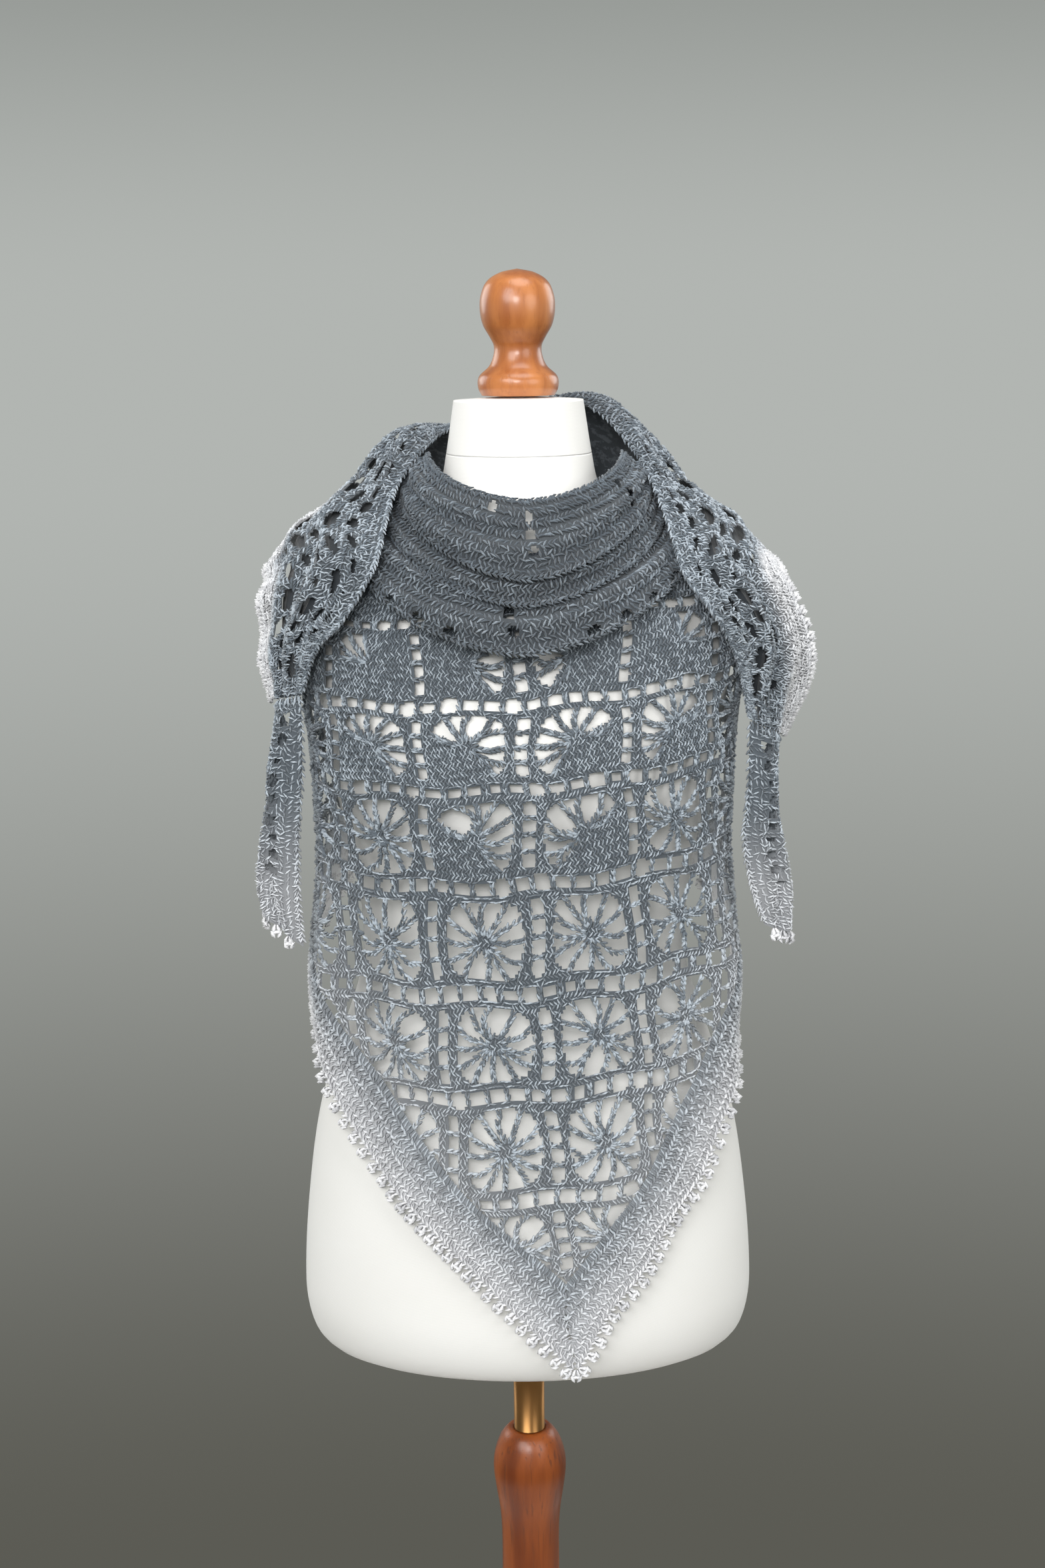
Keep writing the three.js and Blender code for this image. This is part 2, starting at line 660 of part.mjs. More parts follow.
// A border strip along one lower edge, toothed with picots, mitred at the point of the shawl.
function edging(side) {
  const flat = new FlatCloth([([u]) => side * u - SEAM_GAP / 2, belowTop]);
  const place = (along, out) => {
    const [u, v] = edgePoint(along, out);
    return [side * u, v];
  };
  const start = -EDGING_WIDTH / EDGE_SLOPE;
  const count = Math.round((EDGING_LENGTH - start) / PICOT_PITCH);
  for (let i = 0; i < count; i++) {
    const from = start + i * PICOT_PITCH;
    const to = from + PICOT_PITCH;
    const middle = (from + to) / 2;
    flat.add([
      place(from, EDGING_GAP),
      place(to, EDGING_GAP),
      place(to, EDGING_WIDTH),
      place(middle + PICOT_WIDTH / 2, EDGING_WIDTH + PICOT_HEIGHT),
      place(middle - PICOT_WIDTH / 2, EDGING_WIDTH + PICOT_HEIGHT),
      place(from, EDGING_WIDTH),
    ]);
  }
  return clothWall(flat, panelPoint);
}

function cowlBand(band) {
  const flat = new FlatCloth();
  const azimuth = (i) => band.reach * ((2 * i) / COWL_COLUMNS - 1);
  for (let i = 0; i < COWL_COLUMNS; i++) {
    for (let j = 0; j < COWL_ROWS; j++) {
      const [low, high] = [j / COWL_ROWS, (j + 1) / COWL_ROWS];
      flat.add([[azimuth(i), low], [azimuth(i + 1), low], [azimuth(i + 1), high], [azimuth(i), high]]);
    }
  }
  return clothWall(flat, (u, v) => cowlPoint(band, u, v));
}

// A wing or tail, with a diamond gap in every few of its inner cells.
function ribbon(table, steps, rows, gapEvery) {
  const flat = new FlatCloth();
  const columns = (table.length - 1) * steps;
  for (let i = 0; i < columns; i++) {
    for (let j = 0; j < rows; j++) {
      const at = (u, v) => [(i + u) / steps, (j + v) / rows];
      const corners = [at(1, 1), at(0, 1), at(0, 0), at(1, 0)];
      const inner = j > 0 && j < rows - 1 && i > steps * WING_PLAIN_ROWS && i < columns - 1;
      const pierced = gapEvery > 0 && inner && (i * rows + j * 2) % gapEvery === 0;
      const reach = WING_GAP_SIZE;
      const gap = [at(0.5 + reach, 0.5), at(0.5, 0.5 + reach), at(0.5 - reach, 0.5), at(0.5, 0.5 - reach)];
      if (!pierced) flat.add(corners);
      else ringBetween(gap, corners, at(0.5, 0.5)).forEach((polygon) => flat.add(polygon));
    }
  }
  return clothWall(flat, (u, v) => ribbonPoint(table, u, v));
}

function postGeometry() {
  const top = NECK_TOP - POST_DROP;
  const outline = POST_PROFILE.map(({ radius, drop }) => [radius, top - drop]).reverse();
  const foot = BASE_THICKNESS + SEAM_GAP;
  const boreFoot = top - POST_BORE_DEPTH;
  const bore = [[POST_BORE_RADIUS, top], [POST_BORE_RADIUS, boreFoot], [0, boreFoot]];
  return turned([[0, foot], [outline[0][0], foot], ...outline, ...bore]);
}

function poleGeometry() {
  const top = NECK_TOP - FORM_SECTIONS[FORM_SECTIONS.length - 1].drop - SEAM_GAP;
  const low = NECK_TOP - POST_DROP - POLE_IN_POST;
  return turned([[0, low], [POLE_RADIUS, low], [POLE_RADIUS, top], [0, top]]);
}

function baseGeometry() {
  const [inset, shoulder] = [BASE_RADIUS - BASE_ROUNDING, BASE_THICKNESS - BASE_ROUNDING];
  return turned([
    [0, 0],
    [BASE_RADIUS - BASE_BEVEL, 0],
    [BASE_RADIUS, BASE_BEVEL],
    [BASE_RADIUS, shoulder],
    [inset + BASE_ROUNDING * Math.SQRT1_2, shoulder + BASE_ROUNDING * Math.SQRT1_2],
    [inset, BASE_THICKNESS],
    [0, BASE_THICKNESS],
  ], ROUND_SIDES * 2);
}

function knobGeometry() {
  const seat = NECK_TOP + NECK_DOME + SEAM_GAP;
  const outline = KNOB_PROFILE.map(({ radius, height }) => [radius, seat + height]);
  return turned([[0, seat], ...outline, [0, seat + KNOB_HEIGHT]]);
}

const shawl = new THREE.Group();

function addPiece(name, geometry, look) {
  const piece = new THREE.Mesh(geometry, new THREE.MeshStandardMaterial(look));
  piece.name = name;
  shawl.add(piece);
}

const DARK_YARN = { color: 0x4b5058, roughness: 0.95, metalness: 0 };
const MID_YARN = { color: 0x7c828a, roughness: 0.95, metalness: 0 };
const PALE_YARN = { color: 0xc3c3c8, roughness: 0.95, metalness: 0 };
const JERSEY = { color: 0xf2f1ee, roughness: 0.8, metalness: 0 };
const STAINED_WOOD = { color: 0xa8562a, roughness: 0.35, metalness: 0 };
const BRONZE_TUBE = { color: 0x9a6b3c, roughness: 0.25, metalness: 1 };

const formLow = FORM_SECTIONS[FORM_SECTIONS.length - 1].drop;
addPiece("base", baseGeometry(), STAINED_WOOD);
addPiece("post", postGeometry(), STAINED_WOOD);
addPiece("pole", poleGeometry(), BRONZE_TUBE);
addPiece("torso", formStack(NECK_SEAM_DROP + SEAM_GAP / 2, formLow, 0), JERSEY);
addPiece("neck_cap", formStack(0, NECK_SEAM_DROP - SEAM_GAP / 2, NECK_DOME), JERSEY);
addPiece("knob", knobGeometry(), STAINED_WOOD);
addPiece("front", frontPanel(), MID_YARN);
addPiece("side_left", sidePanel(-1), MID_YARN);
addPiece("side_right", sidePanel(1), MID_YARN);
addPiece("edging_left", edging(-1), PALE_YARN);
addPiece("edging_right", edging(1), PALE_YARN);
COWL_BANDS.forEach((band) => addPiece(band.name, cowlBand(band), DARK_YARN));
addPiece("wing_left", ribbon(WING_LEFT, WING_STEPS, WING_ROWS, WING_GAP_EVERY), MID_YARN);
addPiece("wing_right", ribbon(WING_RIGHT, WING_STEPS, WING_ROWS, WING_GAP_EVERY), MID_YARN);
addPiece("tail_left", ribbon(TAIL_LEFT, TAIL_STEPS, TAIL_ROWS, 0), PALE_YARN);
addPiece("tail_right", ribbon(TAIL_RIGHT, TAIL_STEPS, TAIL_ROWS, 0), PALE_YARN);

export default shawl;
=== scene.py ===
import math

import bpy
import numpy as np
from mathutils import Matrix


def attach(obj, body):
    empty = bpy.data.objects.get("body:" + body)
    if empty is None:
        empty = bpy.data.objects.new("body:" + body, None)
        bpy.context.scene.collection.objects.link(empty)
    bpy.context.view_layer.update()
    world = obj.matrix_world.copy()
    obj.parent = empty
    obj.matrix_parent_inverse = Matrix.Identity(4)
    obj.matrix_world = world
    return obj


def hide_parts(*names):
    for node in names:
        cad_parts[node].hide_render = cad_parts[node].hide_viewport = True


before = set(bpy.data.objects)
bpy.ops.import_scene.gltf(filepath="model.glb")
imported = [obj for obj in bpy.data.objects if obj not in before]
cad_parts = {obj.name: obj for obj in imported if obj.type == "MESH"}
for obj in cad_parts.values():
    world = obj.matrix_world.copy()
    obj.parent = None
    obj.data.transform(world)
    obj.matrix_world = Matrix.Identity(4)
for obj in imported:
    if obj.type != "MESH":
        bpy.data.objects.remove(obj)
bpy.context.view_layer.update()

# Camera: level with the knob, a step and a half in front of the form, tipped down a little
# and leaning by a hair, as the photograph was taken.
camera = bpy.data.objects.new("camera", bpy.data.cameras.new("camera"))
camera.data.lens = 53.53
camera.data.sensor_width = 36
tip = Matrix.Rotation(math.radians(78.4), 4, "X") @ Matrix.Rotation(math.radians(-0.62), 4, "Z")
camera.matrix_world = Matrix.Translation((0, -1.740, 1.548)) @ tip
bpy.context.scene.collection.objects.link(camera)
bpy.context.scene.camera = camera


# Floor: a round of pale studio floor, painted smooth and matt, that the stand is set on.
# It isn't part of the object.
FLOOR_RADIUS, FLOOR_CORNERS = 0.85, 96


def build_mesh(name, points, faces, smooth=True, **marks):
    """A mesh object from points, faces with equal corners, and a number for each point under each mark."""
    mesh = bpy.data.meshes.new(name)
    faces = np.asarray(faces, np.int32)
    mesh.vertices.add(len(points))
    mesh.vertices.foreach_set("co", np.asarray(points, np.float32).ravel())
    mesh.loops.add(faces.size)
    mesh.loops.foreach_set("vertex_index", faces.ravel())
    mesh.polygons.add(len(faces))
    mesh.polygons.foreach_set("loop_start", np.arange(0, faces.size, faces.shape[1], dtype=np.int32))
    mesh.polygons.foreach_set("use_smooth", np.full(len(faces), smooth))
    for key, values in marks.items():
        mesh.attributes.new(key, "FLOAT", "POINT").data.foreach_set("value", np.asarray(values, np.float32))
    mesh.update(calc_edges=True)
    mesh.validate()
    piece = bpy.data.objects.new(name, mesh)
    bpy.context.scene.collection.objects.link(piece)
    return piece


class Socket:
    """A shader socket that stands in Python sums."""

    def __init__(self, tree, output=None):
        self.tree = tree
        self.output = output

    def make(self, kind, settings, inputs, output=0):
        node = self.tree.nodes.new(kind)
        for key, value in settings.items():
            setattr(node, key, value)
        for key, value in inputs.items():
            if isinstance(value, Socket):
                self.tree.links.new(value.output, node.inputs[key])
            else:
                node.inputs[key].default_value = value
        return Socket(self.tree, node.outputs[output])

    def maths(self, operation, first, second):
        return self.make("ShaderNodeMath", {"operation": operation}, {0: first, 1: second})

    def __add__(self, other):
        return self.maths("ADD", self, other)

    def __sub__(self, other):
        return self.maths("SUBTRACT", self, other)

    def __rsub__(self, other):
        return self.maths("SUBTRACT", other, self)

    def __mul__(self, other):
        return self.maths("MULTIPLY", self, other)

    __radd__ = __add__
    __rmul__ = __mul__

    def between(self, low, high):
        """0 below low, 1 above high and a soft step between."""
        steps = {"interpolation_type": "SMOOTHSTEP"}
        return self.make("ShaderNodeMapRange", steps, {"Value": self, "From Min": low, "From Max": high})

    def tint(self, low, high):
        """A colour from low to high."""
        return self.make("ShaderNodeMix", {"data_type": "RGBA"}, {0: self, 6: low, 7: high}, 2)

    def noise(self, scale, detail=2.0, stretch=(1, 1, 1)):
        """Cloudy noise in the object's own space, at a scale in cells a metre."""
        place = self.make("ShaderNodeTexCoord", {}, {}, 3)
        where = self.make("ShaderNodeVectorMath", {"operation": "MULTIPLY"}, {0: place, 1: stretch})
        return self.make("ShaderNodeTexNoise", {}, {"Vector": where, "Scale": scale, "Detail": detail})

    def bump(self, strength, distance):
        """A surface normal raised by this value."""
        return self.make("ShaderNodeBump", {}, {"Strength": strength, "Distance": distance, "Height": self})

    def to(self, shader, key):
        self.tree.links.new(self.output, shader.inputs[key])


def new_finish(name, **fixed):
    """A material, its shader with the fixed values set, and a socket to start sums from."""
    material = bpy.data.materials.new(name)
    material.use_nodes = True
    shader = material.node_tree.nodes["Principled BSDF"]
    for key, value in fixed.items():
        shader.inputs[key.replace("_", " ").title()].default_value = value
    return material, shader, Socket(material.node_tree)


pale_floor, shader, start = new_finish("pale_floor", roughness=0.8)
start.noise(4).tint((0.62, 0.61, 0.59, 1), (0.7, 0.69, 0.67, 1)).to(shader, "Base Color")
turn = np.linspace(0, 2 * math.pi, FLOOR_CORNERS, endpoint=False)
rim = FLOOR_RADIUS * np.stack([np.cos(turn), np.sin(turn), 0 * turn], 1)
floor = build_mesh("floor", rim, [np.arange(FLOOR_CORNERS)])
floor.data.materials.append(pale_floor)


# Light: a wide soft key from the upper left, a weaker fill from the right, soft lights from the front,
# above and behind, and a plain grey studio all round, palest at eye level and darker down to the floor.
LIGHTS_AIM = (0, 0, 1.1)


def soft_light(name, place, size, power):
    """A round lamp with a soft edge, turned to the middle of the form."""
    lamp = bpy.data.lights.new(name, "AREA")
    lamp.shape = "DISK"
    lamp.size = size
    lamp.energy = power
    light = bpy.data.objects.new(name, lamp)
    bpy.context.scene.collection.objects.link(light)
    back = np.array(place) - LIGHTS_AIM
    right = np.cross((0, 0, 1), back)
    turn = np.stack([side / np.linalg.norm(side) for side in (right, np.cross(back, right), back)], 1)
    light.matrix_world = Matrix.Translation(place) @ Matrix(turn.tolist()).to_4x4()


soft_light("key", (-1.3, -2.4, 2.7), 1.8, 50)
soft_light("fill", (1.9, -2.1, 2.1), 1.8, 26)
soft_light("front", (-0.2, -2.9, 2.3), 0.9, 38)
soft_light("top", (0.2, -0.5, 3.2), 1.5, 22)
soft_light("behind_left", (-2.2, 1.6, 2.1), 1.8, 24)
soft_light("behind_right", (2.2, 1.6, 2.1), 1.8, 24)
studio = bpy.data.worlds.new("studio")
studio.use_nodes = True
background = studio.node_tree.nodes["Background"]
start = Socket(studio.node_tree)
facing = start.make("ShaderNodeTexCoord", {}, {}, 0)
height = start.make("ShaderNodeSeparateXYZ", {}, {0: facing}, 2)
wall = height.between(-0.5, -0.05).tint((0.105, 0.104, 0.088, 1), (0.445, 0.465, 0.445, 1))
height.between(0, 0.2).tint(wall, (0.25, 0.265, 0.25, 1)).to(background, "Color")
bpy.context.scene.world = studio
bpy.context.scene.view_settings.view_transform = "Standard"


# Base and post: turned from stained hardwood and varnished, the round base carrying a slim post
# with a swollen collar at its mouth. Below the photograph they are kept plain. Their colour is the
# stain darkened further with painted shade, for the low stand that less light reaches.
MM = 0.001
NECK_TOP = 1480 * MM
POST_TOP = NECK_TOP - 818 * MM
SEAM = 0.3 * MM
ON_AXIS = 0.01 * MM


def sample(table, at):
    """The columns of a table after its first, read smoothly at values of its first."""
    keys, rows = table[:, 0], table[:, 1:]
    last = len(keys) - 1
    before, after = np.maximum(np.arange(last + 1) - 1, 0), np.minimum(np.arange(last + 1) + 1, last)
    slope = (rows[after] - rows[before]) / (keys[after] - keys[before])[:, None]
    i = np.clip(np.searchsorted(keys, at) - 1, 0, last - 1)
    span = (keys[i + 1] - keys[i])[..., None]
    t = (np.asarray(at) - keys[i])[..., None] / span
    bend = (1 - t) ** 2 * t * slope[i] - t**2 * (1 - t) * slope[i + 1]
    return rows[i] + (rows[i + 1] - rows[i]) * t**2 * (3 - 2 * t) + span * bend


def grid_faces(rows, columns, closed=False):
    """Quads over a grid of points, its columns joined up if it is closed."""
    i, j = np.meshgrid(np.arange(rows - 1), np.arange(columns if closed else columns - 1), indexing="ij")
    k = (j + 1) % columns
    corners = [i * columns + j, i * columns + k, (i + 1) * columns + k, (i + 1) * columns + j]
    return np.stack(corners, -1).reshape(-1, 4)


def turned(name, outline, sides=72):
    """A turned piece from rows of radius and height, from its foot to its top."""
    radius, height = np.asarray(outline, float).T
    turn = np.linspace(0, 2 * math.pi, sides, endpoint=False)
    points = np.stack(
        [np.outer(radius, np.cos(turn)), np.outer(radius, np.sin(turn)), np.outer(height, np.ones(sides))], -1
    )
    return build_mesh(name, points.reshape(-1, 3), grid_faces(len(radius), sides, True))


def wood_finish(name, along, deep, pale, pored, varnish):
    """Stained wood under varnish, its grain drawn out along one way of the piece."""
    material, shader, start = new_finish(name, coat_weight=varnish, coat_roughness=0.2)
    grain = start.noise(55, 5, np.where(along, 0.09, 1).tolist())
    pores = start.noise(420, 2, np.where(along, 0.05, 1).tolist()).between(0.56, 0.72)
    streak = grain.between(0.32, 0.7).tint(deep, pale)
    (pores * pored).tint(streak, (0.1, 0.026, 0.008, 1)).to(shader, "Base Color")
    (grain * 0.18 + 0.26).to(shader, "Roughness")
    (1 - pores).bump(0.2, 0.0004).to(shader, "Normal")
    return material


# The stand's wood: its own stain, darkened below the knob's as painted shade on the lower stand.
STAIN_AND_PAINTED_SHADE = (0.14, 0.027, 0.003, 1), (0.31, 0.072, 0.009, 1), 0.6, 0.1
post_wood = wood_finish("post_wood", (0, 0, 1), *STAIN_AND_PAINTED_SHADE)
base_wood = wood_finish("base_wood", (1, 0, 0), *STAIN_AND_PAINTED_SHADE)

BASE_OUTLINE = np.array(
    [(0.01, 0), (168, 0), (170, 2), (170, 20), (168.5, 24), (165, 27), (161, 28), (0.01, 28)]
)
base = turned("base_turning", BASE_OUTLINE * MM, 128)
POST_PROFILE = np.array(
    [
        (0, 17), (7, 23), (21, 28), (34, 29.2), (50, 27.5), (70, 24.5), (90, 23.2), (128, 23.2),
        (320, 25.5), (560, 26.5), (585, 30), (604, 42), (618, 44),
    ]
) * MM
POST_FOOT, POST_FOOT_RADIUS = 28 * MM + SEAM, 44 * MM
BORE_RADIUS, BORE_FLOOR = 12.8 * MM, POST_TOP - 360 * MM
drops = np.linspace(POST_PROFILE[-1, 0], 0, 150)
outline = np.stack([sample(POST_PROFILE, drops)[:, 0], POST_TOP - drops], 1)
mouth = [(BORE_RADIUS, POST_TOP), (BORE_RADIUS, BORE_FLOOR), (ON_AXIS, BORE_FLOOR)]
foot = [(ON_AXIS, POST_FOOT), (POST_FOOT_RADIUS, POST_FOOT)]
post = turned("post_turning", [*foot, *outline, *mouth])
for piece, node, wood in ((base, "base", base_wood), (post, "post", post_wood)):
    piece.data.materials.append(wood)
    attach(piece, "stand")
    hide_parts(node)


# Pole: a bronzed steel tube that slides in the post and carries the form,
# drawn bright and rubbed a little along its length.
bronze, shader, start = new_finish("bronze_tube", metallic=1.0)
rub = start.noise(90, 3, (1, 1, 0.04))
rub.tint((0.21, 0.1, 0.034, 1), (0.33, 0.18, 0.066, 1)).to(shader, "Base Color")
(rub * 0.2 + 0.2).to(shader, "Roughness")
start.noise(900, 1, (1, 1, 0.02)).bump(0.05, 0.0002).to(shader, "Normal")
FORM_FOOT = 748 * MM
POLE_RADIUS, POLE_END_RADIUS = 12.35 * MM, 11.9 * MM
POLE_LOW, POLE_TOP = POST_TOP - 280 * MM, NECK_TOP - FORM_FOOT - SEAM
POLE_OUTLINE = [
    (ON_AXIS, POLE_LOW), (POLE_END_RADIUS, POLE_LOW), (POLE_RADIUS, POLE_LOW + 1 * MM),
    (POLE_RADIUS, POLE_TOP), (ON_AXIS, POLE_TOP),
]
pole = turned("pole_tube", POLE_OUTLINE)
pole.data.materials.append(bronze)
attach(pole, "form")
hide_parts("pole")

# Form: a limbless foam torso under a stretched cover of fine white jersey, with a separate neck cap
# of the same jersey sewn on at a level seam.
FORM_SECTIONS = np.array(
    [
        (0, 49, 50, 50), (39, 55, 55, 54), (62, 60, 59, 60), (80, 70, 63, 67), (95, 93, 68, 74),
        (112, 126, 75, 82), (130, 151, 82, 89), (155, 163, 92, 95), (190, 160, 105, 97), (240, 152, 117, 95),
        (290, 143, 110, 90), (350, 130, 94, 82), (420, 125, 85, 79), (480, 142, 91, 90), (540, 161, 97, 102),
        (610, 172, 102, 111), (680, 177, 103, 113), (712, 174, 100, 109), (733, 163, 90, 98),
        (744, 140, 74, 80), (748, 100, 52, 56),
    ]
) * MM
COVER_INSET, RING_PITCH, FORM_SIDES = 1.1 * MM, 5 * MM, 96
NECK_SEAM, NECK_DOME = 39 * MM, 3 * MM
DRAWN_IN = np.array((0.02, 0.02, 1))


def section_point(azimuth, drop, width, front, back, lift):
    """Points of level sections: ellipses with their own depth before and behind."""
    depth = np.where(np.cos(azimuth) > 0, front, back) + lift
    return np.stack([(width + lift) * np.sin(azimuth), -depth * np.cos(azimuth), NECK_TOP - drop], -1)


def form_skin(name, top, low, dome):
    """The jersey between two drops, closed at the top and the foot."""
    rings_between = max(12, int((low - top) / RING_PITCH))
    drop = np.concatenate([[top], np.linspace(top + MM, low - MM, rings_between), [low]])
    azimuth = np.linspace(0, 2 * math.pi, FORM_SIDES, endpoint=False)
    width, front, back = (column[:, None] for column in sample(FORM_SECTIONS, drop).T)
    rings = section_point(azimuth[None], drop[:, None] + 0 * azimuth, width, front, back, -COVER_INSET)
    crown = rings[0] * DRAWN_IN + (0, 0, dome)
    heel = rings[-1] * DRAWN_IN
    rows = np.concatenate([crown[None], rings, heel[None]])[::-1]
    return build_mesh(name, rows.reshape(-1, 3), grid_faces(len(rows), len(azimuth), True))


jersey, shader, start = new_finish("jersey", sheen_weight=0.15, sheen_roughness=0.5)
knit = start.make(
    "ShaderNodeTexWave", {"bands_direction": "Z"},
    {"Vector": start.make("ShaderNodeTexCoord", {}, {}, 3), "Scale": 330.0, "Distortion": 2.5, "Detail": 2.0},
    1,
)
soil = start.noise(9, 3)
soil.tint((0.80, 0.785, 0.755, 1), (0.87, 0.862, 0.84, 1)).to(shader, "Base Color")
(soil * 0.15 + 0.68).to(shader, "Roughness")
(knit + start.noise(1500, 1)).bump(0.12, 0.0003).to(shader, "Normal")
torso = form_skin("torso_cover", NECK_SEAM + SEAM / 6, FORM_FOOT, 0)
neck_cap = form_skin("neck_cover", 0, NECK_SEAM - SEAM / 6, NECK_DOME)
for piece, node in ((torso, "torso"), (neck_cap, "neck_cap")):
    piece.data.materials.append(jersey)
    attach(piece, "form")
    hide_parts(node)

# Knob: turned from the same wood, a flat foot, a narrow waist and a round head, seated on the neck
# and varnished brighter than the stand. It keeps the wood's own stain; the stand's is darkened with painted
# shade.
knob_wood = wood_finish("knob_wood", (0, 0, 1), (0.3, 0.085, 0.02, 1), (0.5, 0.18, 0.05, 1), 0.15, 0.4)
KNOB_PROFILE = np.array(
    [
        (0, 27), (5, 29.4), (11, 29.8), (15, 28), (21, 21.5), (29, 18), (36, 17.7), (42, 20.5), (51, 25.5),
        (62, 27.6), (73, 26.6), (83, 21.5), (89, 11), (91, 0.01),
    ]
) * MM
KNOB_SEAT = NECK_TOP + NECK_DOME + SEAM
heights = np.linspace(0, KNOB_PROFILE[-1, 0], 90)
outline = np.stack([np.maximum(sample(KNOB_PROFILE, heights)[:, 0], ON_AXIS), KNOB_SEAT + heights], 1)
knob = turned("knob_turning", [(ON_AXIS, KNOB_SEAT), *outline])
knob.data.materials.append(knob_wood)
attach(knob, "form")
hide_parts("knob")


# Front of the shawl: the lace that hangs from the bust, crocheted from the neck down in marled yarn.
# Spider motifs of chain legs sit in a net of eyelets, either side of a spine of two firm columns.
COLUMN_PITCH, ROW_PITCH = 76, 78
POST_PITCH, RUNG_PITCH = 15.2, 14
FRONT_HALF, FRONT_TOP, FRONT_CELL = 3 * COLUMN_PITCH, 8 * ROW_PITCH, 2.4
PETALS, LINKS, HUB, CLOSED = 12, 7, 7.5, 9
WEB_WIDE, WEB_TALL, WEB_POWER = 26.8, 28.2, 3.5
RUNG_EYELET, ROW_EYELET = (3.9, 5.5, 3.5), (5.8, 5.1, 4.5)
LEAF_LENGTH, LEAF_THICK, LEAF_POINTS = 1.65, 0.3, 9
LEAF_RINGS = (-0.5, -0.2, 0.45), (0, 0.7, 1), (0.5, -0.2, 0.45)
LEAF_CORNERS = math.pi / 2, math.pi * 7 / 6, math.pi * 11 / 6
WAVER, TILT, TILT_REACH, ARC_STEPS, SWAYS = 1.8, 0.065, 150, 24, 4096
BODY_MIDDLE = np.array((0, 0, 1.25))
PANEL_SECTIONS = np.array(
    [
        (90, 116, 74, 82), (120, 147, 83.3, 93), (140, 164, 92, 100), (165, 172, 103, 104),
        (200, 168, 111.5, 105), (240, 163, 118.9, 103), (300, 159, 121.5, 100), (350, 159, 117.5, 99),
        (405, 164, 114.5, 100), (440, 167, 113, 103), (485, 165, 112, 106), (540, 169, 110.5, 112),
        (610, 179, 109.5, 120), (680, 183, 109.5, 121), (745, 185, 108, 120),
    ]
)
ROW_LEVELS = np.array(
    [
        (-1, 727), (0, 649), (1, 581), (2, 499), (3, 420), (4, 339), (5, 268), (6, 208), (7, 150), (8, 121),
    ],
    float,
)
PANEL_FOLDS = (
    (-1.12, 0.16, 5, 300), (-0.74, 0.14, -3, 320), (0.78, 0.14, -3, 330),
    (1.2, 0.16, 4.5, 310), (1.62, 0.16, -4, 300), (-1.6, 0.16, -4, 300),
)
EDGE_SLOPE = 0.81
EDGE_TURN = math.atan(EDGE_SLOPE)
BEND_START, BEND_RADIUS = 520, 167


def panel_point(across, up):
    """Points of the hanging panel from flat millimetres, across from the spine and up from the foot."""
    across, up = across + WAVER * np.sin(up / 14 + across / 37), up + WAVER * np.sin(across / 13 + up / 41)
    spine_drop = sample(ROW_LEVELS, up / ROW_PITCH)[..., 0]
    drift = 0.07 * np.maximum(0, spine_drop - 240)
    level = spine_drop - TILT * TILT_REACH * np.tanh(across / TILT_REACH)
    width, front, back = np.moveaxis(sample(PANEL_SECTIONS, level), -1, 0)
    azimuth = 0 * across
    for _ in range(ARC_STEPS):
        depth = np.where(np.cos(azimuth) > 0, front, back)
        pace = np.hypot(width * np.cos(azimuth), depth * np.sin(azimuth))
        azimuth = azimuth + (across + drift) / ARC_STEPS / pace
    lift = 0
    for middle, spread, size, begins in PANEL_FOLDS:
        crease = np.exp(-(((azimuth - middle) / spread) ** 2))
        lift = lift + size * crease / (1 + np.exp((begins - level) / 70))
    drop = level - 6 * (1 - np.cos(azimuth))
    return section_point(azimuth, drop * MM, width * MM, front * MM, back * MM, lift * MM)


def unit(vectors):
    """Vectors drawn out or in to a length of one."""
    return vectors / np.linalg.norm(vectors, axis=-1, keepdims=True)


def lay(place, u, v, step=1e-3):
    """Where flat points lie: their places, and the directions along, up and outward from the cloth there."""
    at = place(u, v)
    along = unit(place(u + step, v) - place(u - step, v))
    up = place(u, v + step) - place(u, v - step)
    up = unit(up - along * (up * along).sum(-1, keepdims=True))
    out = np.cross(along, up)
    outward = np.sign(((at - BODY_MIDDLE) * out).sum(-1).mean())
    return at, along, up, out * outward


def stitches(
    laid, angle, tone, length=5.2, spread=2.0, thick=1.05, lean=0.5, lift=0.0, leaves=(-1, 1), seed=1
):
    """Crochet stitches as points, faces and marks: plump leaves of yarn, in a V along the angle or alone."""
    place, along, up, out = laid
    rng = np.random.default_rng(seed)
    count = len(place)
    angle = angle + rng.normal(0, 0.14, count)
    place = place + (along * rng.normal(0, 0.25, (count, 1)) + up * rng.normal(0, 0.25, (count, 1))) * MM
    girth = (thick * MM * rng.uniform(0.85, 1.15, count))[:, None]
    lift = np.broadcast_to(lift, count)[:, None]
    rings = []
    for side in leaves:
        tilt = (angle + side * lean)[:, None]
        leaf = np.cos(tilt) * along + np.sin(tilt) * up
        beside = np.cross(out, leaf)
        aside = -np.sin(angle)[:, None] * along + np.cos(angle)[:, None] * up
        middle = place + aside * side * spread / 2 * MM + out * lift * MM
        for step, rise, share in LEAF_RINGS:
            centre = middle + leaf * length * step * MM + out * girth * rise
            for turn in LEAF_CORNERS:
                rings.append(centre + girth * share * (math.cos(turn) * beside + math.sin(turn) * out))
    points = np.stack(rings, 1).reshape(-1, 3)
    edges = [(ring + k, ring + (k + 1) % 3) for ring in (0, 3) for k in range(3)]
    leaf_faces = np.array([(a, b, b + 3, a + 3) for a, b in edges])
    faces = (np.arange(count * len(leaves))[:, None, None] * LEAF_POINTS + leaf_faces).reshape(-1, 4)
    ply = np.repeat(rng.uniform(0, 1, count * len(leaves)), LEAF_POINTS)
    return points, faces, np.repeat(tone, LEAF_POINTS * len(leaves)), ply


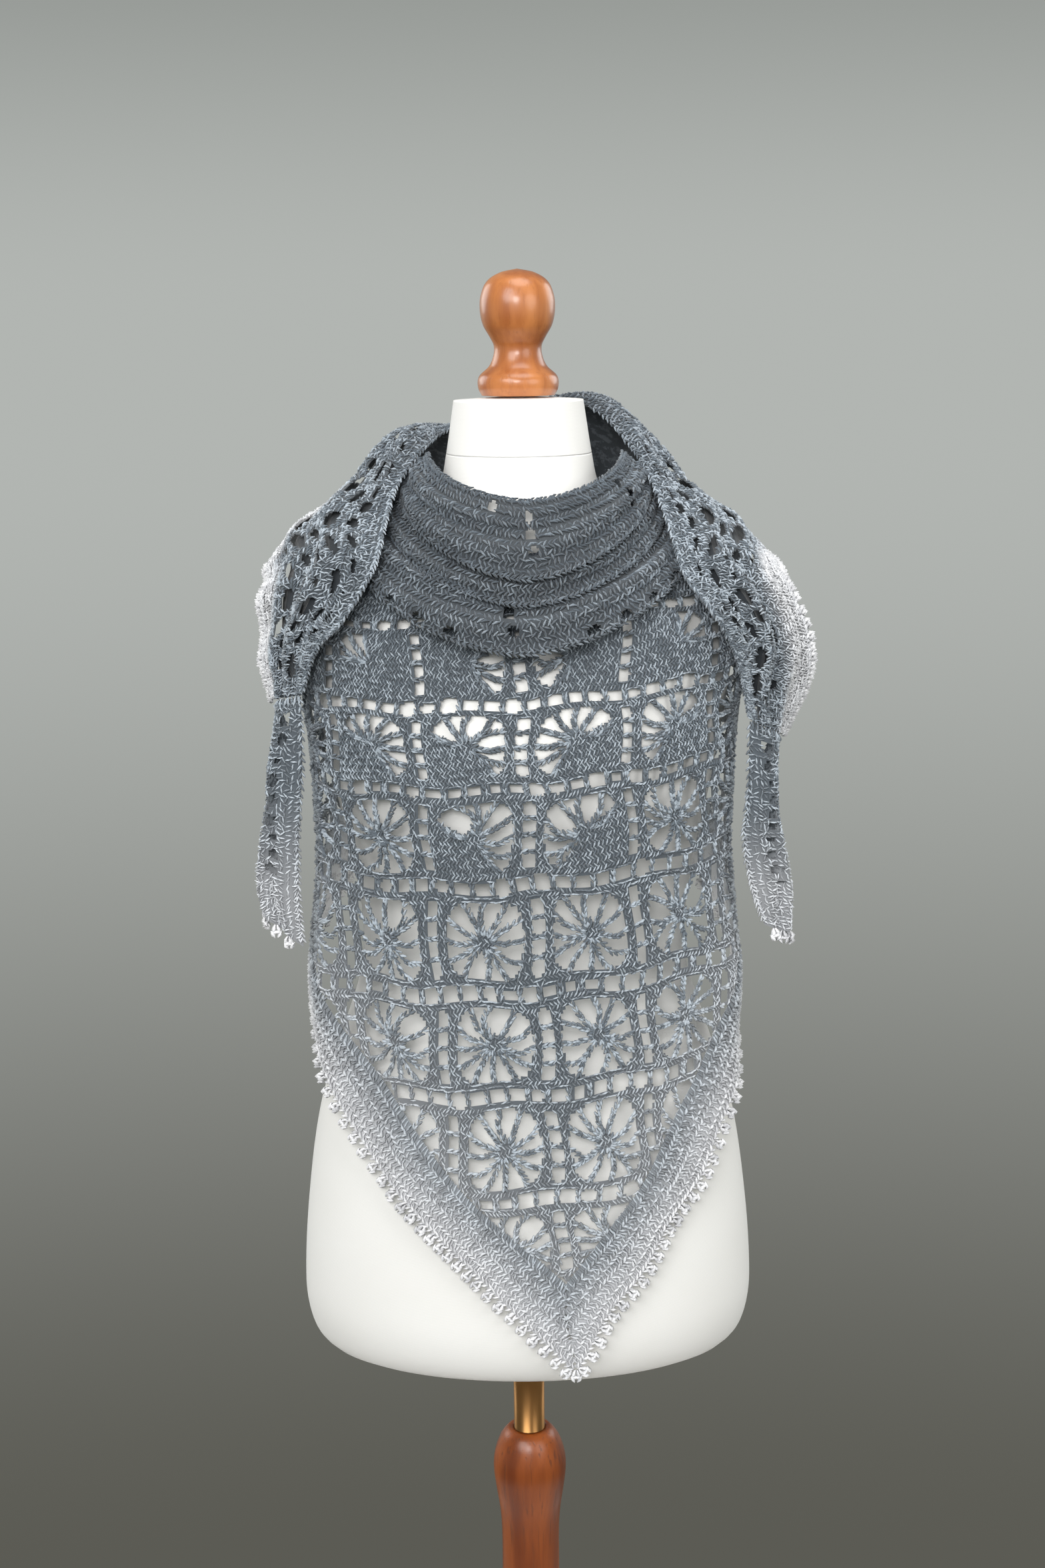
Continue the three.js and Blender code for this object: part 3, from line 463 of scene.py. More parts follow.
def join_yarn(name, bunches, finish_used):
    """One mesh of several bunches of stitches."""
    start_at = np.cumsum([0] + [len(points) for points, *_ in bunches])
    faces = np.concatenate([faces + at for (_, faces, *_), at in zip(bunches, start_at)])
    points, tone, ply = (np.concatenate([bunch[k] for bunch in bunches]) for k in (0, 2, 3))
    piece = build_mesh(name, points, faces, tone=tone, ply=ply)
    piece.data.materials.append(finish_used)
    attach(piece, "form")
    return piece


def grid_of(us, vs):
    """All pairs of two rows of values, as two flat arrays."""
    return (axis.ravel() for axis in np.meshgrid(us, vs, indexing="ij"))


def cell_middles(us, vs):
    """The middles of the cells between two rows of grid lines."""
    return np.meshgrid((us[1:] + us[:-1]) / 2, (vs[1:] + vs[:-1]) / 2, indexing="ij")


def ground(name, place, u, v, kept, tone, finish_used, top=-0.3, low=-1.0):
    """The thin body of the cloth on grid lines, where kept says, as a closed shell in from its face."""
    columns, rows = len(u), len(v)
    at, along, up, out = lay(place, *grid_of(u, v), abs(u[1] - u[0]) * 0.05)
    points = np.concatenate([at + out * top * MM, at + out * low * MM])
    cells = grid_faces(columns, rows).reshape(columns - 1, rows - 1, 4)
    upper = cells[kept][:, ::-1]
    under = cells[kept] + columns * rows
    ring = np.pad(kept, 1)
    rims = []
    for shift, corners in (((-1, 0), (0, 1)), ((0, 1), (1, 2)), ((1, 0), (2, 3)), ((0, -1), (3, 0))):
        bare = ~np.roll(ring, (-shift[0], -shift[1]), (0, 1))[1:-1, 1:-1] & kept
        a, b = (cells[bare][:, k] for k in corners)
        rims.append(np.stack([a, b, b + columns * rows, a + columns * rows], 1))
    faces = np.concatenate([upper, under, *rims])
    if (np.cross(along, up) * out).sum() < 0:
        faces = faces[:, ::-1]
    used, inverse = np.unique(faces, return_inverse=True)
    # The face of the body has no light plies and reads darker than the stitches on it, painted shade in the
    # gaps between them; its inside has plies at random.
    inner_ply = np.random.default_rng(columns).uniform(0.1, 1, columns * rows)
    ply = np.concatenate([np.zeros(columns * rows), inner_ply])
    marks = {"tone": np.tile(tone, 2)[used], "ply": ply[used]}
    piece = build_mesh(name, points[used], inverse.reshape(faces.shape), False, **marks)
    piece.data.materials.append(finish_used)
    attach(piece, "form")
    return piece


def edge_point(run, away):
    """Flat points by a lower edge, which runs straight up from the shawl's point and bends at the back."""
    turn = EDGE_TURN - np.maximum(run - BEND_START, 0) / BEND_RADIUS
    straight, radius = np.minimum(run, BEND_START), BEND_RADIUS + away
    u = straight * math.sin(EDGE_TURN) - BEND_RADIUS * math.cos(EDGE_TURN) + radius * np.cos(turn)
    v = straight * math.cos(EDGE_TURN) + BEND_RADIUS * math.sin(EDGE_TURN) - radius * np.sin(turn)
    return u, v


def above_edge(u, v):
    """How far flat points lie in from the lower edges of the lace."""
    centre_u, centre_v = edge_point(BEND_START, -BEND_RADIUS)
    across, up = np.abs(u) - centre_u, v - centre_v
    straight = v * math.sin(EDGE_TURN) - np.abs(u) * math.cos(EDGE_TURN)
    bent = (across > 0) & (np.arctan2(-up, across) < EDGE_TURN)
    return np.where(bent, BEND_RADIUS - np.hypot(across, up), straight)


def lace_tone(u, v):
    """The yarn's change of shade: silver at the edging, deepening to charcoal towards the neck."""
    inside = v * math.sin(EDGE_TURN) - np.abs(u) * math.cos(EDGE_TURN)
    behind = np.clip((np.abs(u) - FRONT_HALF) / 90, 0, 1)
    inside = inside + (above_edge(u, v) - inside) * behind
    return np.interp(inside, (0, 50, 130, 230, 340, 450), (0.68, 0.55, 0.42, 0.36, 0.32, 0.2))


def petal_open(column, row, angle):
    """Whole spiders low down, half spiders over the bust, a few slots under the cowl."""
    half = np.sin(angle) - np.cos(angle) > -0.3
    slots = (column == 0) & (np.cos(angle) < -0.5) & (np.sin(angle) < 0.3)
    slots = slots | ((column > 0) & (np.sin(angle) > 0.2) & (np.cos(angle) > 0.2))
    rows_up = [row < 4, row == 4, row == 5, row == 6]
    return np.select(rows_up, [row < 4, (column > 0) | half, half, slots], False)


def opening(dx, dy, half_width, half_height, power):
    """How far outside a rounded opening a point lies, below zero inside it."""
    size = (np.abs(dx) / half_width) ** power + (np.abs(dy) / half_height) ** power
    return (size ** (1 / power) - 1) * min(half_width, half_height)


def uneven(first, second):
    """A number from 0 to 1 for each pair of counts, with no order to it."""
    mixed = np.sin(first * 127.1 + second * 311.7) * 43758.5
    return mixed - np.floor(mixed)


def lace_gap(u, v):
    """How far lace lies from an opening: a spider's petals, or an eyelet in the net's rows and columns."""
    x = np.abs(u)
    column, row = np.floor(x / COLUMN_PITCH), np.floor(v / ROW_PITCH)
    dx, dy = x - (column + 0.5) * COLUMN_PITCH, v - (row + 0.5) * ROW_PITCH
    petal = (np.floor(np.arctan2(dy, dx) / (math.pi / 6)) + 0.5) * math.pi / 6
    web = np.maximum(opening(dx, dy, WEB_WIDE, WEB_TALL, WEB_POWER), HUB - np.hypot(dx, dy))
    web = np.where(petal_open(column, row, petal), web, CLOSED)
    rung = np.clip(np.floor((dy + 2 * RUNG_PITCH) / RUNG_PITCH), 0, 3) - 1.5
    ladder = opening(x - np.round(x / COLUMN_PITCH) * COLUMN_PITCH, dy - rung * RUNG_PITCH, *RUNG_EYELET)
    level, post = np.round(v / ROW_PITCH), np.floor(x / POST_PITCH)
    row_eyelet = opening(x - (post + 0.5) * POST_PITCH, v - level * ROW_PITCH, *ROW_EYELET)
    drawn_in = 2.4 * uneven(post + 40 * level, np.sign(u)) - 0.7
    row_eyelet = np.where(v < 7.5 * ROW_PITCH, row_eyelet + drawn_in, CLOSED)
    return np.minimum(np.minimum(web, ladder), row_eyelet)


def yarn_finish(name, depth):
    """Marled yarn: light and dark plies twisted together, paler as the tone rises, with stray fibre; depth
    scales all its colours down, painted shade for copies of the yarn that lie where less light reaches.
    """
    material, shader, start = new_finish(name, roughness=0.92, sheen_weight=0.25, sheen_roughness=0.6)
    tone = start.make("ShaderNodeAttribute", {"attribute_name": "tone"}, {}, 2)
    ply = start.make("ShaderNodeAttribute", {"attribute_name": "ply"}, {}, 2)
    fleck = (start.noise(640, 2) * 0.7 + ply * 0.6 + tone * 0.25).between(0.66, 0.9)
    shades = np.array([
        [(0.062, 0.077, 0.094), (0.114, 0.139, 0.165), (0.6, 0.6, 0.62)],
        [(0.105, 0.13, 0.156), (0.415, 0.47, 0.525), (0.82, 0.815, 0.83)],
    ]) * depth
    plies = []
    for deep, middle, pale in np.concatenate([shades, np.ones((2, 3, 1))], 2).tolist():
        dusky = (tone * 2.2).between(0, 1).tint(deep, middle)
        plies.append(tone.between(0.4, 1).tint(dusky, pale))
    fleck.tint(*plies).to(shader, "Base Color")
    (start.noise(2600, 1, (1, 1, 0.5)) + fleck * 0.5).bump(0.35, 0.0004).to(shader, "Normal")
    return material


# The stitches take the yarn at full depth; the cloth's body between them and the insides of the folds take
# darker copies: painted shade in the gaps and hollows.
yarn = yarn_finish("marled_yarn", 1.0)
yarn_in_painted_shade = yarn_finish("marled_yarn_painted_shade", 0.6)
yarn_in_deep_painted_shade = yarn_finish("marled_yarn_painted_deep_shade", 0.4)


def panel_stitches(low_u, high_u, pitch_u, pitch_v, top, seed):
    """The worked ground of a stretch of lace: rows of stitches wherever it isn't open."""
    along_u = np.arange(low_u + pitch_u / 2, high_u - pitch_u / 2, pitch_u)
    u, v = grid_of(along_u, np.arange(pitch_v / 2, top, pitch_v))
    u = u + pitch_u / 2 * (np.round(v / pitch_v) % 2)
    kept = (above_edge(u, v) > 1) & (lace_gap(u, v) > 0.7)
    u, v = u[kept], v[kept]
    lean = np.where(np.round(v / pitch_v) % 2 < 1, -0.6, 0.6)
    slope_u, slope_v = (lace_gap(u + a, v + b) - lace_gap(u - a, v - b) for a, b in ((0.4, 0), (0, 0.4)))
    angle = np.where(lace_gap(u, v) < 2.4, np.arctan2(slope_u, -slope_v), math.pi / 2 + lean)
    return stitches(
        lay(panel_point, u, v), angle, lace_tone(u, v), length=pitch_u * LEAF_LENGTH,
        thick=pitch_u * LEAF_THICK, leaves=(0,), seed=seed,
    )


def spider_legs(columns, rows, side, seed):
    """The chain legs of the spiders: links along each leg from the hub to the rim."""
    rng = np.random.default_rng(seed)
    counts = np.meshgrid(columns, rows, np.arange(PETALS), np.arange(LINKS))
    column, row, leg, link = (axis.ravel() for axis in counts)
    angle = leg * math.pi / 6
    open_beside = petal_open(column, row, angle + 0.26) | petal_open(column, row, angle - 0.26)
    wide, tall = np.abs(np.cos(angle)) / WEB_WIDE, np.abs(np.sin(angle)) / WEB_TALL
    rim = (wide**WEB_POWER + tall**WEB_POWER) ** (-1 / WEB_POWER)
    share = (link + 0.5) / LINKS
    away = 5 + (rim - 4) * share
    leg_number = (column * 997 + row * 131 + leg * 17).astype(int) % SWAYS
    sway = rng.normal(0, 3.0, SWAYS)[leg_number] * np.sin(math.pi * share)
    u = (column + 0.5) * COLUMN_PITCH + away * np.cos(angle) - sway * np.sin(angle)
    sag = 3.4 * np.abs(np.cos(angle)) * np.sin(math.pi * share)
    v = (row + 0.5) * ROW_PITCH + away * np.sin(angle) + sway * np.cos(angle) - sag
    kept = open_beside & (above_edge(u, v) > 0) & (u < (columns[-1] + 1) * COLUMN_PITCH)
    u, v, angle = side * u[kept], v[kept], angle[kept]
    turn = angle if side > 0 else math.pi - angle
    return stitches(
        lay(panel_point, u, v), turn, lace_tone(u, v) - 0.07,
        length=5.4, spread=1.9, thick=1.5, lean=0.3, seed=seed,
    )


def net_bars(low_u, high_u, rows, seed):
    """The thin bars of the net: upright ones between the eyelets of each row, level ones up the columns."""
    posts = np.arange(math.ceil(low_u / POST_PITCH), math.floor(high_u / POST_PITCH) + 1) * POST_PITCH
    columns = np.arange(math.ceil(low_u / COLUMN_PITCH), math.floor(high_u / COLUMN_PITCH) + 1) * COLUMN_PITCH
    rungs = ((rows[:, None] + 0.5) * ROW_PITCH + np.array((-1, 0, 1)) * RUNG_PITCH).ravel()
    post_u, post_v, step = (axis.ravel() for axis in np.meshgrid(posts, rows[1:] * ROW_PITCH, (-2.6, 2.6)))
    rung_u, rung_v, reach = (axis.ravel() for axis in np.meshgrid(columns, rungs, (-2.2, 2.2)))
    u, v = np.concatenate([post_u, rung_u + reach]), np.concatenate([post_v + step, rung_v])
    angle = np.where(np.arange(len(u)) < len(post_u), math.pi / 2, 0.0)
    kept = above_edge(u, v) > 3
    u, v = u[kept], v[kept]
    return stitches(
        lay(panel_point, u, v), angle[kept], lace_tone(u, v) - 0.04,
        length=5.6, spread=1.8, thick=1.4, lean=0.26, seed=seed,
    )


def panel_ground(name, u, v, side=1):
    """The body of a stretch of lace on flat grid lines, and which of its cells are worked."""
    mid_u, mid_v = cell_middles(u, v)
    kept = (above_edge(mid_u, mid_v) > 1) & (lace_gap(mid_u, mid_v) > 0.5)
    return ground(name, panel_point, side * u, v, kept, lace_tone(*grid_of(u, v)), yarn_in_painted_shade), kept


u = np.linspace(-FRONT_HALF, FRONT_HALF, round(2 * FRONT_HALF / FRONT_CELL) + 1)
v = np.linspace(0, FRONT_TOP, round(FRONT_TOP / FRONT_CELL) + 1)
front, kept = panel_ground("front_lace", u, v)
front_area = float(kept.sum() * (u[1] - u[0]) * (v[1] - v[0])) * MM * MM
trebles = join_yarn("front_trebles", [panel_stitches(-FRONT_HALF, FRONT_HALF, 2.9, 3.1, FRONT_TOP, 11)], yarn)
legs = [spider_legs(np.arange(3), np.arange(7), side, 20 + side) for side in (-1, 1)]
webs = join_yarn("front_webs", [*legs, net_bars(-FRONT_HALF, FRONT_HALF, np.arange(8), 23)], yarn)
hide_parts("front")


# Sides of the shawl: the same lace in the same yarn, worked in one with the front and carried on
# round the body under the arms, with its upper edges tucked under the wings at the back.
SIDE_REACH, SIDE_RAISES = 365, {-1: 24, 1: 4}


def grid_area(place, u, v, kept):
    """The area of the kept cells."""
    at = place(*np.meshgrid(u, v, indexing="ij"))
    sides = np.diff(at, axis=0)[:, :-1], np.diff(at, axis=1)[:-1]
    return float((np.linalg.norm(np.cross(*sides), axis=-1) * kept).sum())


for node, side in (("side_left", -1), ("side_right", 1)):
    side_top = FRONT_TOP + SIDE_RAISES[side]
    u = np.linspace(FRONT_HALF + 1, SIDE_REACH, 47)
    v = np.linspace(0, side_top, 209)
    body, kept = panel_ground(node + "_lace", u, v, side)
    span = sorted((side * (FRONT_HALF + 1), side * SIDE_REACH))
    worked = panel_stitches(*span, 3.4, 3.6, side_top, 31 + side)
    legs = spider_legs(np.arange(3, 5), np.arange(8), side, 40 + side)
    trebles = join_yarn(node + "_trebles", [worked, legs, net_bars(*span, np.arange(8), 43 + side)], yarn)
    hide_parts(node)
    area = grid_area(panel_point, side * u, v, kept)
    tall = panel_point(np.full(99, side * u[0]), np.linspace(u[0] / math.tan(EDGE_TURN), side_top, 99))
    cut = ((SIDE_REACH - FRONT_HALF) * MM, float(np.linalg.norm(np.diff(tall, axis=0), axis=1).sum()))

# Edging: firm rows of trebles worked along both lower edges in the silver end of the yarn,
# mitred at the point and finished with a picot about every centimetre.
EDGING_WIDTH, EDGING_ROWS, EDGING_ROW, PICOT_PITCH = 45, 5, 8.9, 11.5
EDGING_START, EDGING_END = -EDGING_WIDTH / EDGE_SLOPE, 760
EDGING_POSTS = {"length": 7.6, "thick": 1.25, "leaves": (0,)}
EDGING_BRAID = {"length": 5.6, "spread": 2.8, "thick": 1.3, "lean": 0.75, "lift": 0.6}
EDGING_LINES = (3.4, 3.2, math.pi / 2, -0.07, EDGING_POSTS), (7.9, 4.2, 0, -0.05, EDGING_BRAID)
PICOT_LOOPS = (2.6, 0.35, 6.4, 3.6), (7.0, -0.5, 6.0, 5.0), (5.2, 1.5, 6.0, 2.0)


def picots(laid, outward, seed):
    """Small knots of chain that stand out from an edge: a loop that opens, closes and is drawn tight."""
    place, along, up, out = laid
    direction = np.cos(outward)[:, None] * along + np.sin(outward)[:, None] * up
    tone = np.full(len(place), 0.92)
    bunches = []
    for away, lean, length, spread in PICOT_LOOPS:
        moved = (place + direction * away * MM, along, up, out)
        bunches.append(stitches(moved, outward, tone, length, spread, 2.05, lean, lift=0.4, seed=seed))
    return bunches


for node, side in (("edging_left", -1), ("edging_right", 1)):
    edging_top, edging_end = FRONT_TOP + SIDE_RAISES[side], EDGING_END + SIDE_RAISES[side]

    def edge_place(run, away):
        flat_u, flat_v = edge_point(run, away)
        return panel_point(side * flat_u, flat_v)

    def past_mitre(run, away):
        flat_u, flat_v = edge_point(run, away)
        return (flat_u > 0.4) & (flat_v < edging_top)

    run_lines = np.linspace(EDGING_START, edging_end, 201)
    out_lines = np.linspace(0.4, EDGING_WIDTH, 12)
    kept = past_mitre(*cell_middles(run_lines, out_lines))
    _, flat_out = grid_of(run_lines, out_lines)
    tone = 0.58 + 0.38 * flat_out / EDGING_WIDTH
    body = ground(node + "_lace", edge_place, run_lines, out_lines, kept, tone, yarn)
    bunches = []
    for row in range(EDGING_ROWS):
        for away, pitch, turn, shade, form in EDGING_LINES:
            away = away + EDGING_ROW * row
            run = np.arange(EDGING_START + 2, edging_end, pitch)
            run = run[past_mitre(run, away)]
            tone = np.full(len(run), 0.6 + shade + 0.36 * away / EDGING_WIDTH)
            slant = turn + 0.25 * (-1.0) ** row + 0 * run
            laid = lay(edge_place, run, 0 * run + away)
            bunches.append(stitches(laid, slant, tone, seed=50 + 10 * row + side, **form))
    run = np.arange(EDGING_START + PICOT_PITCH / 2, edging_end, PICOT_PITCH)
    run = run[past_mitre(run, EDGING_WIDTH)]
    bunches += picots(lay(edge_place, run, 0 * run + EDGING_WIDTH), 0 * run + math.pi / 2, 130 + side)
    tip_u, tip_v = edge_point(np.full(1, EDGING_START + 2), EDGING_WIDTH - 2)
    bunches += picots(lay(panel_point, side * tip_u, tip_v), np.full(1, -math.pi / 2), 140 + side)
    rows_worked = join_yarn(node + "_rows", bunches, yarn)
    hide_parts(node)
    cut = ((edging_end - EDGING_START) * MM, EDGING_WIDTH * MM)

# Cowl: the top of the shawl gathered in three deep folds round the front of the neck,
# firm charcoal stitches with a few eyelets among them.
COWL_BANDS = {
    "cowl_upper": (1.54, 5, 5, (72, 76, 82, 68, 37), (92, 116, 96, 120, 61.2)),
    "cowl_middle": (1.5, 6, 4, (76, 90, 86, 106, 57), (104, 115, 98, 138, 76.5)),
    "cowl_lower": (1.5, 7.3, 1, (90, 93, 90, 121.5, 80.5), (133, 129, 100, 171, 87.5)),
}
COWL_EYELETS = {
    "cowl_upper": (
        (0.02, 0.2), (0.03, 0.42), (0.05, 0.64), (-0.32, 0.12), (1.02, 0.2), (1.05, 0.42), (1.08, 0.64),
    ),
    "cowl_middle": ((-0.62, 0.35), (-0.42, 0.42), (0.5, 0.4)),
    "cowl_lower": (
        (-0.1, 0.2), (-0.08, 0.45), (-0.05, 0.68), (-0.7, 0.1), (-0.5, 0.16),
        *((step * 0.2, 0.9) for step in (-5, -4, -3, -2, 2, 3, 4, 5)),
    ),
}
EYELET_WIDE, EYELET_TALL = 0.036, 0.075
TREBLE_ROW, STRIP_STEP = 8.6, 1e-4


def cowl_swag(azimuth, share):
    """The rise and dip of the soft swags in a fold, from -1 to 1."""
    return np.sin(4 * math.pi * share + 2.5 * np.sin(1.3 * azimuth))


def cowl_place(bulge, shift, top, low):
    """The fold between its top and lower edges: half width, front, back, front drop and side drop of each."""

    def place(azimuth, share):
        width, front, back, front_drop, side_drop = (a + (b - a) * share for a, b in zip(top, low))
        drop = front_drop + (side_drop - front_drop) * (1 - np.cos(azimuth)) ** 0.8
        swell = (bulge + 2.8 * cowl_swag(azimuth, share)) * np.sin(math.pi * share)
        at = section_point(azimuth, drop * MM, width * MM, front * MM, back * MM, swell * MM)
        return at + np.array((shift * MM, 0, 0))

    return place


def worked_strip(name, place, u_span, tone_at, hole, pitch, seed, ridged, stray, body_finish):
    """A strip of cloth, u over its span and v from 0 to 1 across it: its body, stitches, area and size."""
    fine_u, fine_v = np.linspace(*u_span, 81), np.linspace(0, 1, 41)
    grid = place(*np.meshgrid(fine_u, fine_v, indexing="ij"))
    length = np.linalg.norm(np.diff(grid, axis=0), axis=2).sum(0).mean() / MM
    across = np.linalg.norm(np.diff(grid, axis=1), axis=2).sum(1).mean() / MM
    u = np.linspace(*u_span, int(length / 2) + 1)
    v = np.linspace(0, 1, int(across / 2) + 1)
    kept = ~hole(*cell_middles(u, v), 0.1)
    body = ground(name + "_cloth", place, u, v, kept, tone_at(*grid_of(u, v)), body_finish)
    step_u, step_v = (u_span[1] - u_span[0]) * pitch / length, pitch * 1.05 / across
    worked_u = np.arange(u_span[0] + step_u / 2, u_span[1] - step_u / 2, step_u)
    flat_u, flat_v = grid_of(worked_u, np.arange(step_v / 2, 1, step_v))
    flat_u = flat_u + step_u / 2 * (np.round(flat_v / step_v) % 2)
    kept_at = ~hole(flat_u, flat_v, 0.25)
    flat_u, flat_v = flat_u[kept_at], flat_v[kept_at]
    lean = np.where(np.round(flat_v / step_v) % 2 < 1, -0.6, 0.6)
    angle = math.pi / 2 + lean + np.random.default_rng(seed).normal(0, stray, len(flat_u))
    ridge = ridged * np.cos(flat_v * across * 2 * math.pi / TREBLE_ROW)
    bunches = [stitches(
        lay(place, flat_u, flat_v, STRIP_STEP), angle, tone_at(flat_u, flat_v), length=pitch * LEAF_LENGTH,
        thick=pitch * LEAF_THICK, lift=ridge, leaves=(0,), seed=seed,
    )]
    rim_u = np.arange(u_span[0] + step_u, u_span[1] - step_u, step_u * 4.2 / pitch)
    for rim_v in (0.006, 0.994):
        tone = tone_at(rim_u, 0 * rim_u + rim_v)
        laid = lay(place, rim_u, 0 * rim_u + rim_v, STRIP_STEP)
        bunches.append(stitches(laid, 0 * rim_u, tone, thick=1.15, seed=seed + 300))
    cut = (length * MM, across * MM)
    return body, bunches, min(grid_area(place, u, v, kept), cut[0] * cut[1]), cut


for seed, (node, (reach, *fold)) in enumerate(COWL_BANDS.items()):

    def cowl_tone(u, v):
        # The yarn's own charcoal, paler in the lower band, with painted shade near the top of each band,
        # under the fold above, and near its lower edge, and painted light and shade following the swags,
        # lighter on their rises and darker in their dips.
        lightest = 0.17 if node == "cowl_lower" else 0.12
        tucked = 0.03 * np.clip((v - 0.75) / 0.25, 0, 1)
        return lightest * np.clip(0.1 + v / 0.3, 0, 1) - tucked + 0.04 * cowl_swag(u, v)

    def cowl_hole(u, v, grow):
        gaps = [
            ((u - a) / EYELET_WIDE) ** 2 + ((v - b) / EYELET_TALL) ** 2 < 1 + 2 * grow
            for a, b in COWL_EYELETS[node]
        ]
        return np.any(gaps, axis=0)

    body, bunches, area, cut = worked_strip(
        node, cowl_place(*fold), (-reach, reach), cowl_tone, cowl_hole, 3.7, 70 + seed, 0.7, 0.3, yarn_in_deep_painted_shade
    )
    worked = join_yarn(node + "_trebles", bunches, yarn)
    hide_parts(node)

# Wings: the two ends of the shawl, taken round the neck to the nape, crossed there and brought forward
# over the shoulders in wide loose folds; lace slots run along them and the picot edging shows outside.
FLUTTER, PLEATS, PLEAT_DEPTH = 4, 3.1, 2.4
WINGS = {
    "wing_left": (
        (22, 68, 24, 24, 90, 40, 26, 104, 84), (-48, 56, 24, -60, 78, 32, -74, 108, 92),
        (-69.2, 10, 34, -98, 36, 30, -122, 92, 104), (-90, -34, 62, -124, 8, 58, -160, 68, 108),
        (-97, -66, 88, -150, -22, 82, -186, 30, 122), (-104, -92, 114, -150, -66, 104, -190, -4, 132),
        (-126, -96, 149, -160, -80, 142, -190, -24, 158), (-147, -84, 172, -170, -74, 174, -189, -38, 186),
        (-160, -69, 208, -173, -64, 210, -183, -48, 214),
    ),
    "wing_right": (
        (-30, 84, 12, -32, 110, 34, -34, 122, 88), (46, 70, 6, 62, 96, 10, 78, 122, 88),
        (82, 12, 34, 100, 40, 32, 122, 96, 98), (100, -32, 66, 124, 8, 60, 158, 68, 104),
        (109, -66, 94, 146, -22, 80, 184, 30, 116), (117, -90, 121, 152, -62, 106, 190, -4, 122),
        (134, -93, 143, 168, -74, 138, 202, -20, 146), (149, -84, 167, 181, -72, 174, 215, -26, 188),
        (159, -71, 195, 182, -66, 208, 206, -32, 218), (167, -57, 231, 182, -57, 239, 193, -38, 246),
    ),
}


def ribbon_place(table):
    """A strip through rows of front edge, crest and back edge, each an x, a y and a drop."""
    rows = np.concatenate([np.arange(len(table))[:, None], np.array(table, float)], 1)
    outward = np.sign(table[-1][0])

    def place(station, share):
        edges = sample(rows, station).reshape(np.shape(station) + (3, 3))
        flutter = FLUTTER * np.sin(math.pi * station / rows[-1, 0]) * np.sin(4.2 * station)
        edges[..., 2, :] += flutter[..., None] * np.array((0.5, 0.8, 0.4))
        weights = [(1 - share) * (1 - 2 * share), 4 * share * (1 - share), share * (2 * share - 1)]
        at = (edges * np.stack(weights, -1)[..., None]).sum(-2)
        pleat = np.sin(PLEATS * 2 * math.pi * share + 1.1 * np.sin(1.7 * station)) * np.sin(math.pi * share)
        raised = PLEAT_DEPTH * pleat * np.clip(station - 1, 0, 1)
        at[..., 0] += outward * raised
        at[..., 1] -= raised
        return np.stack([at[..., 0], at[..., 1], NECK_TOP / MM - at[..., 2]], -1) * MM

    return place


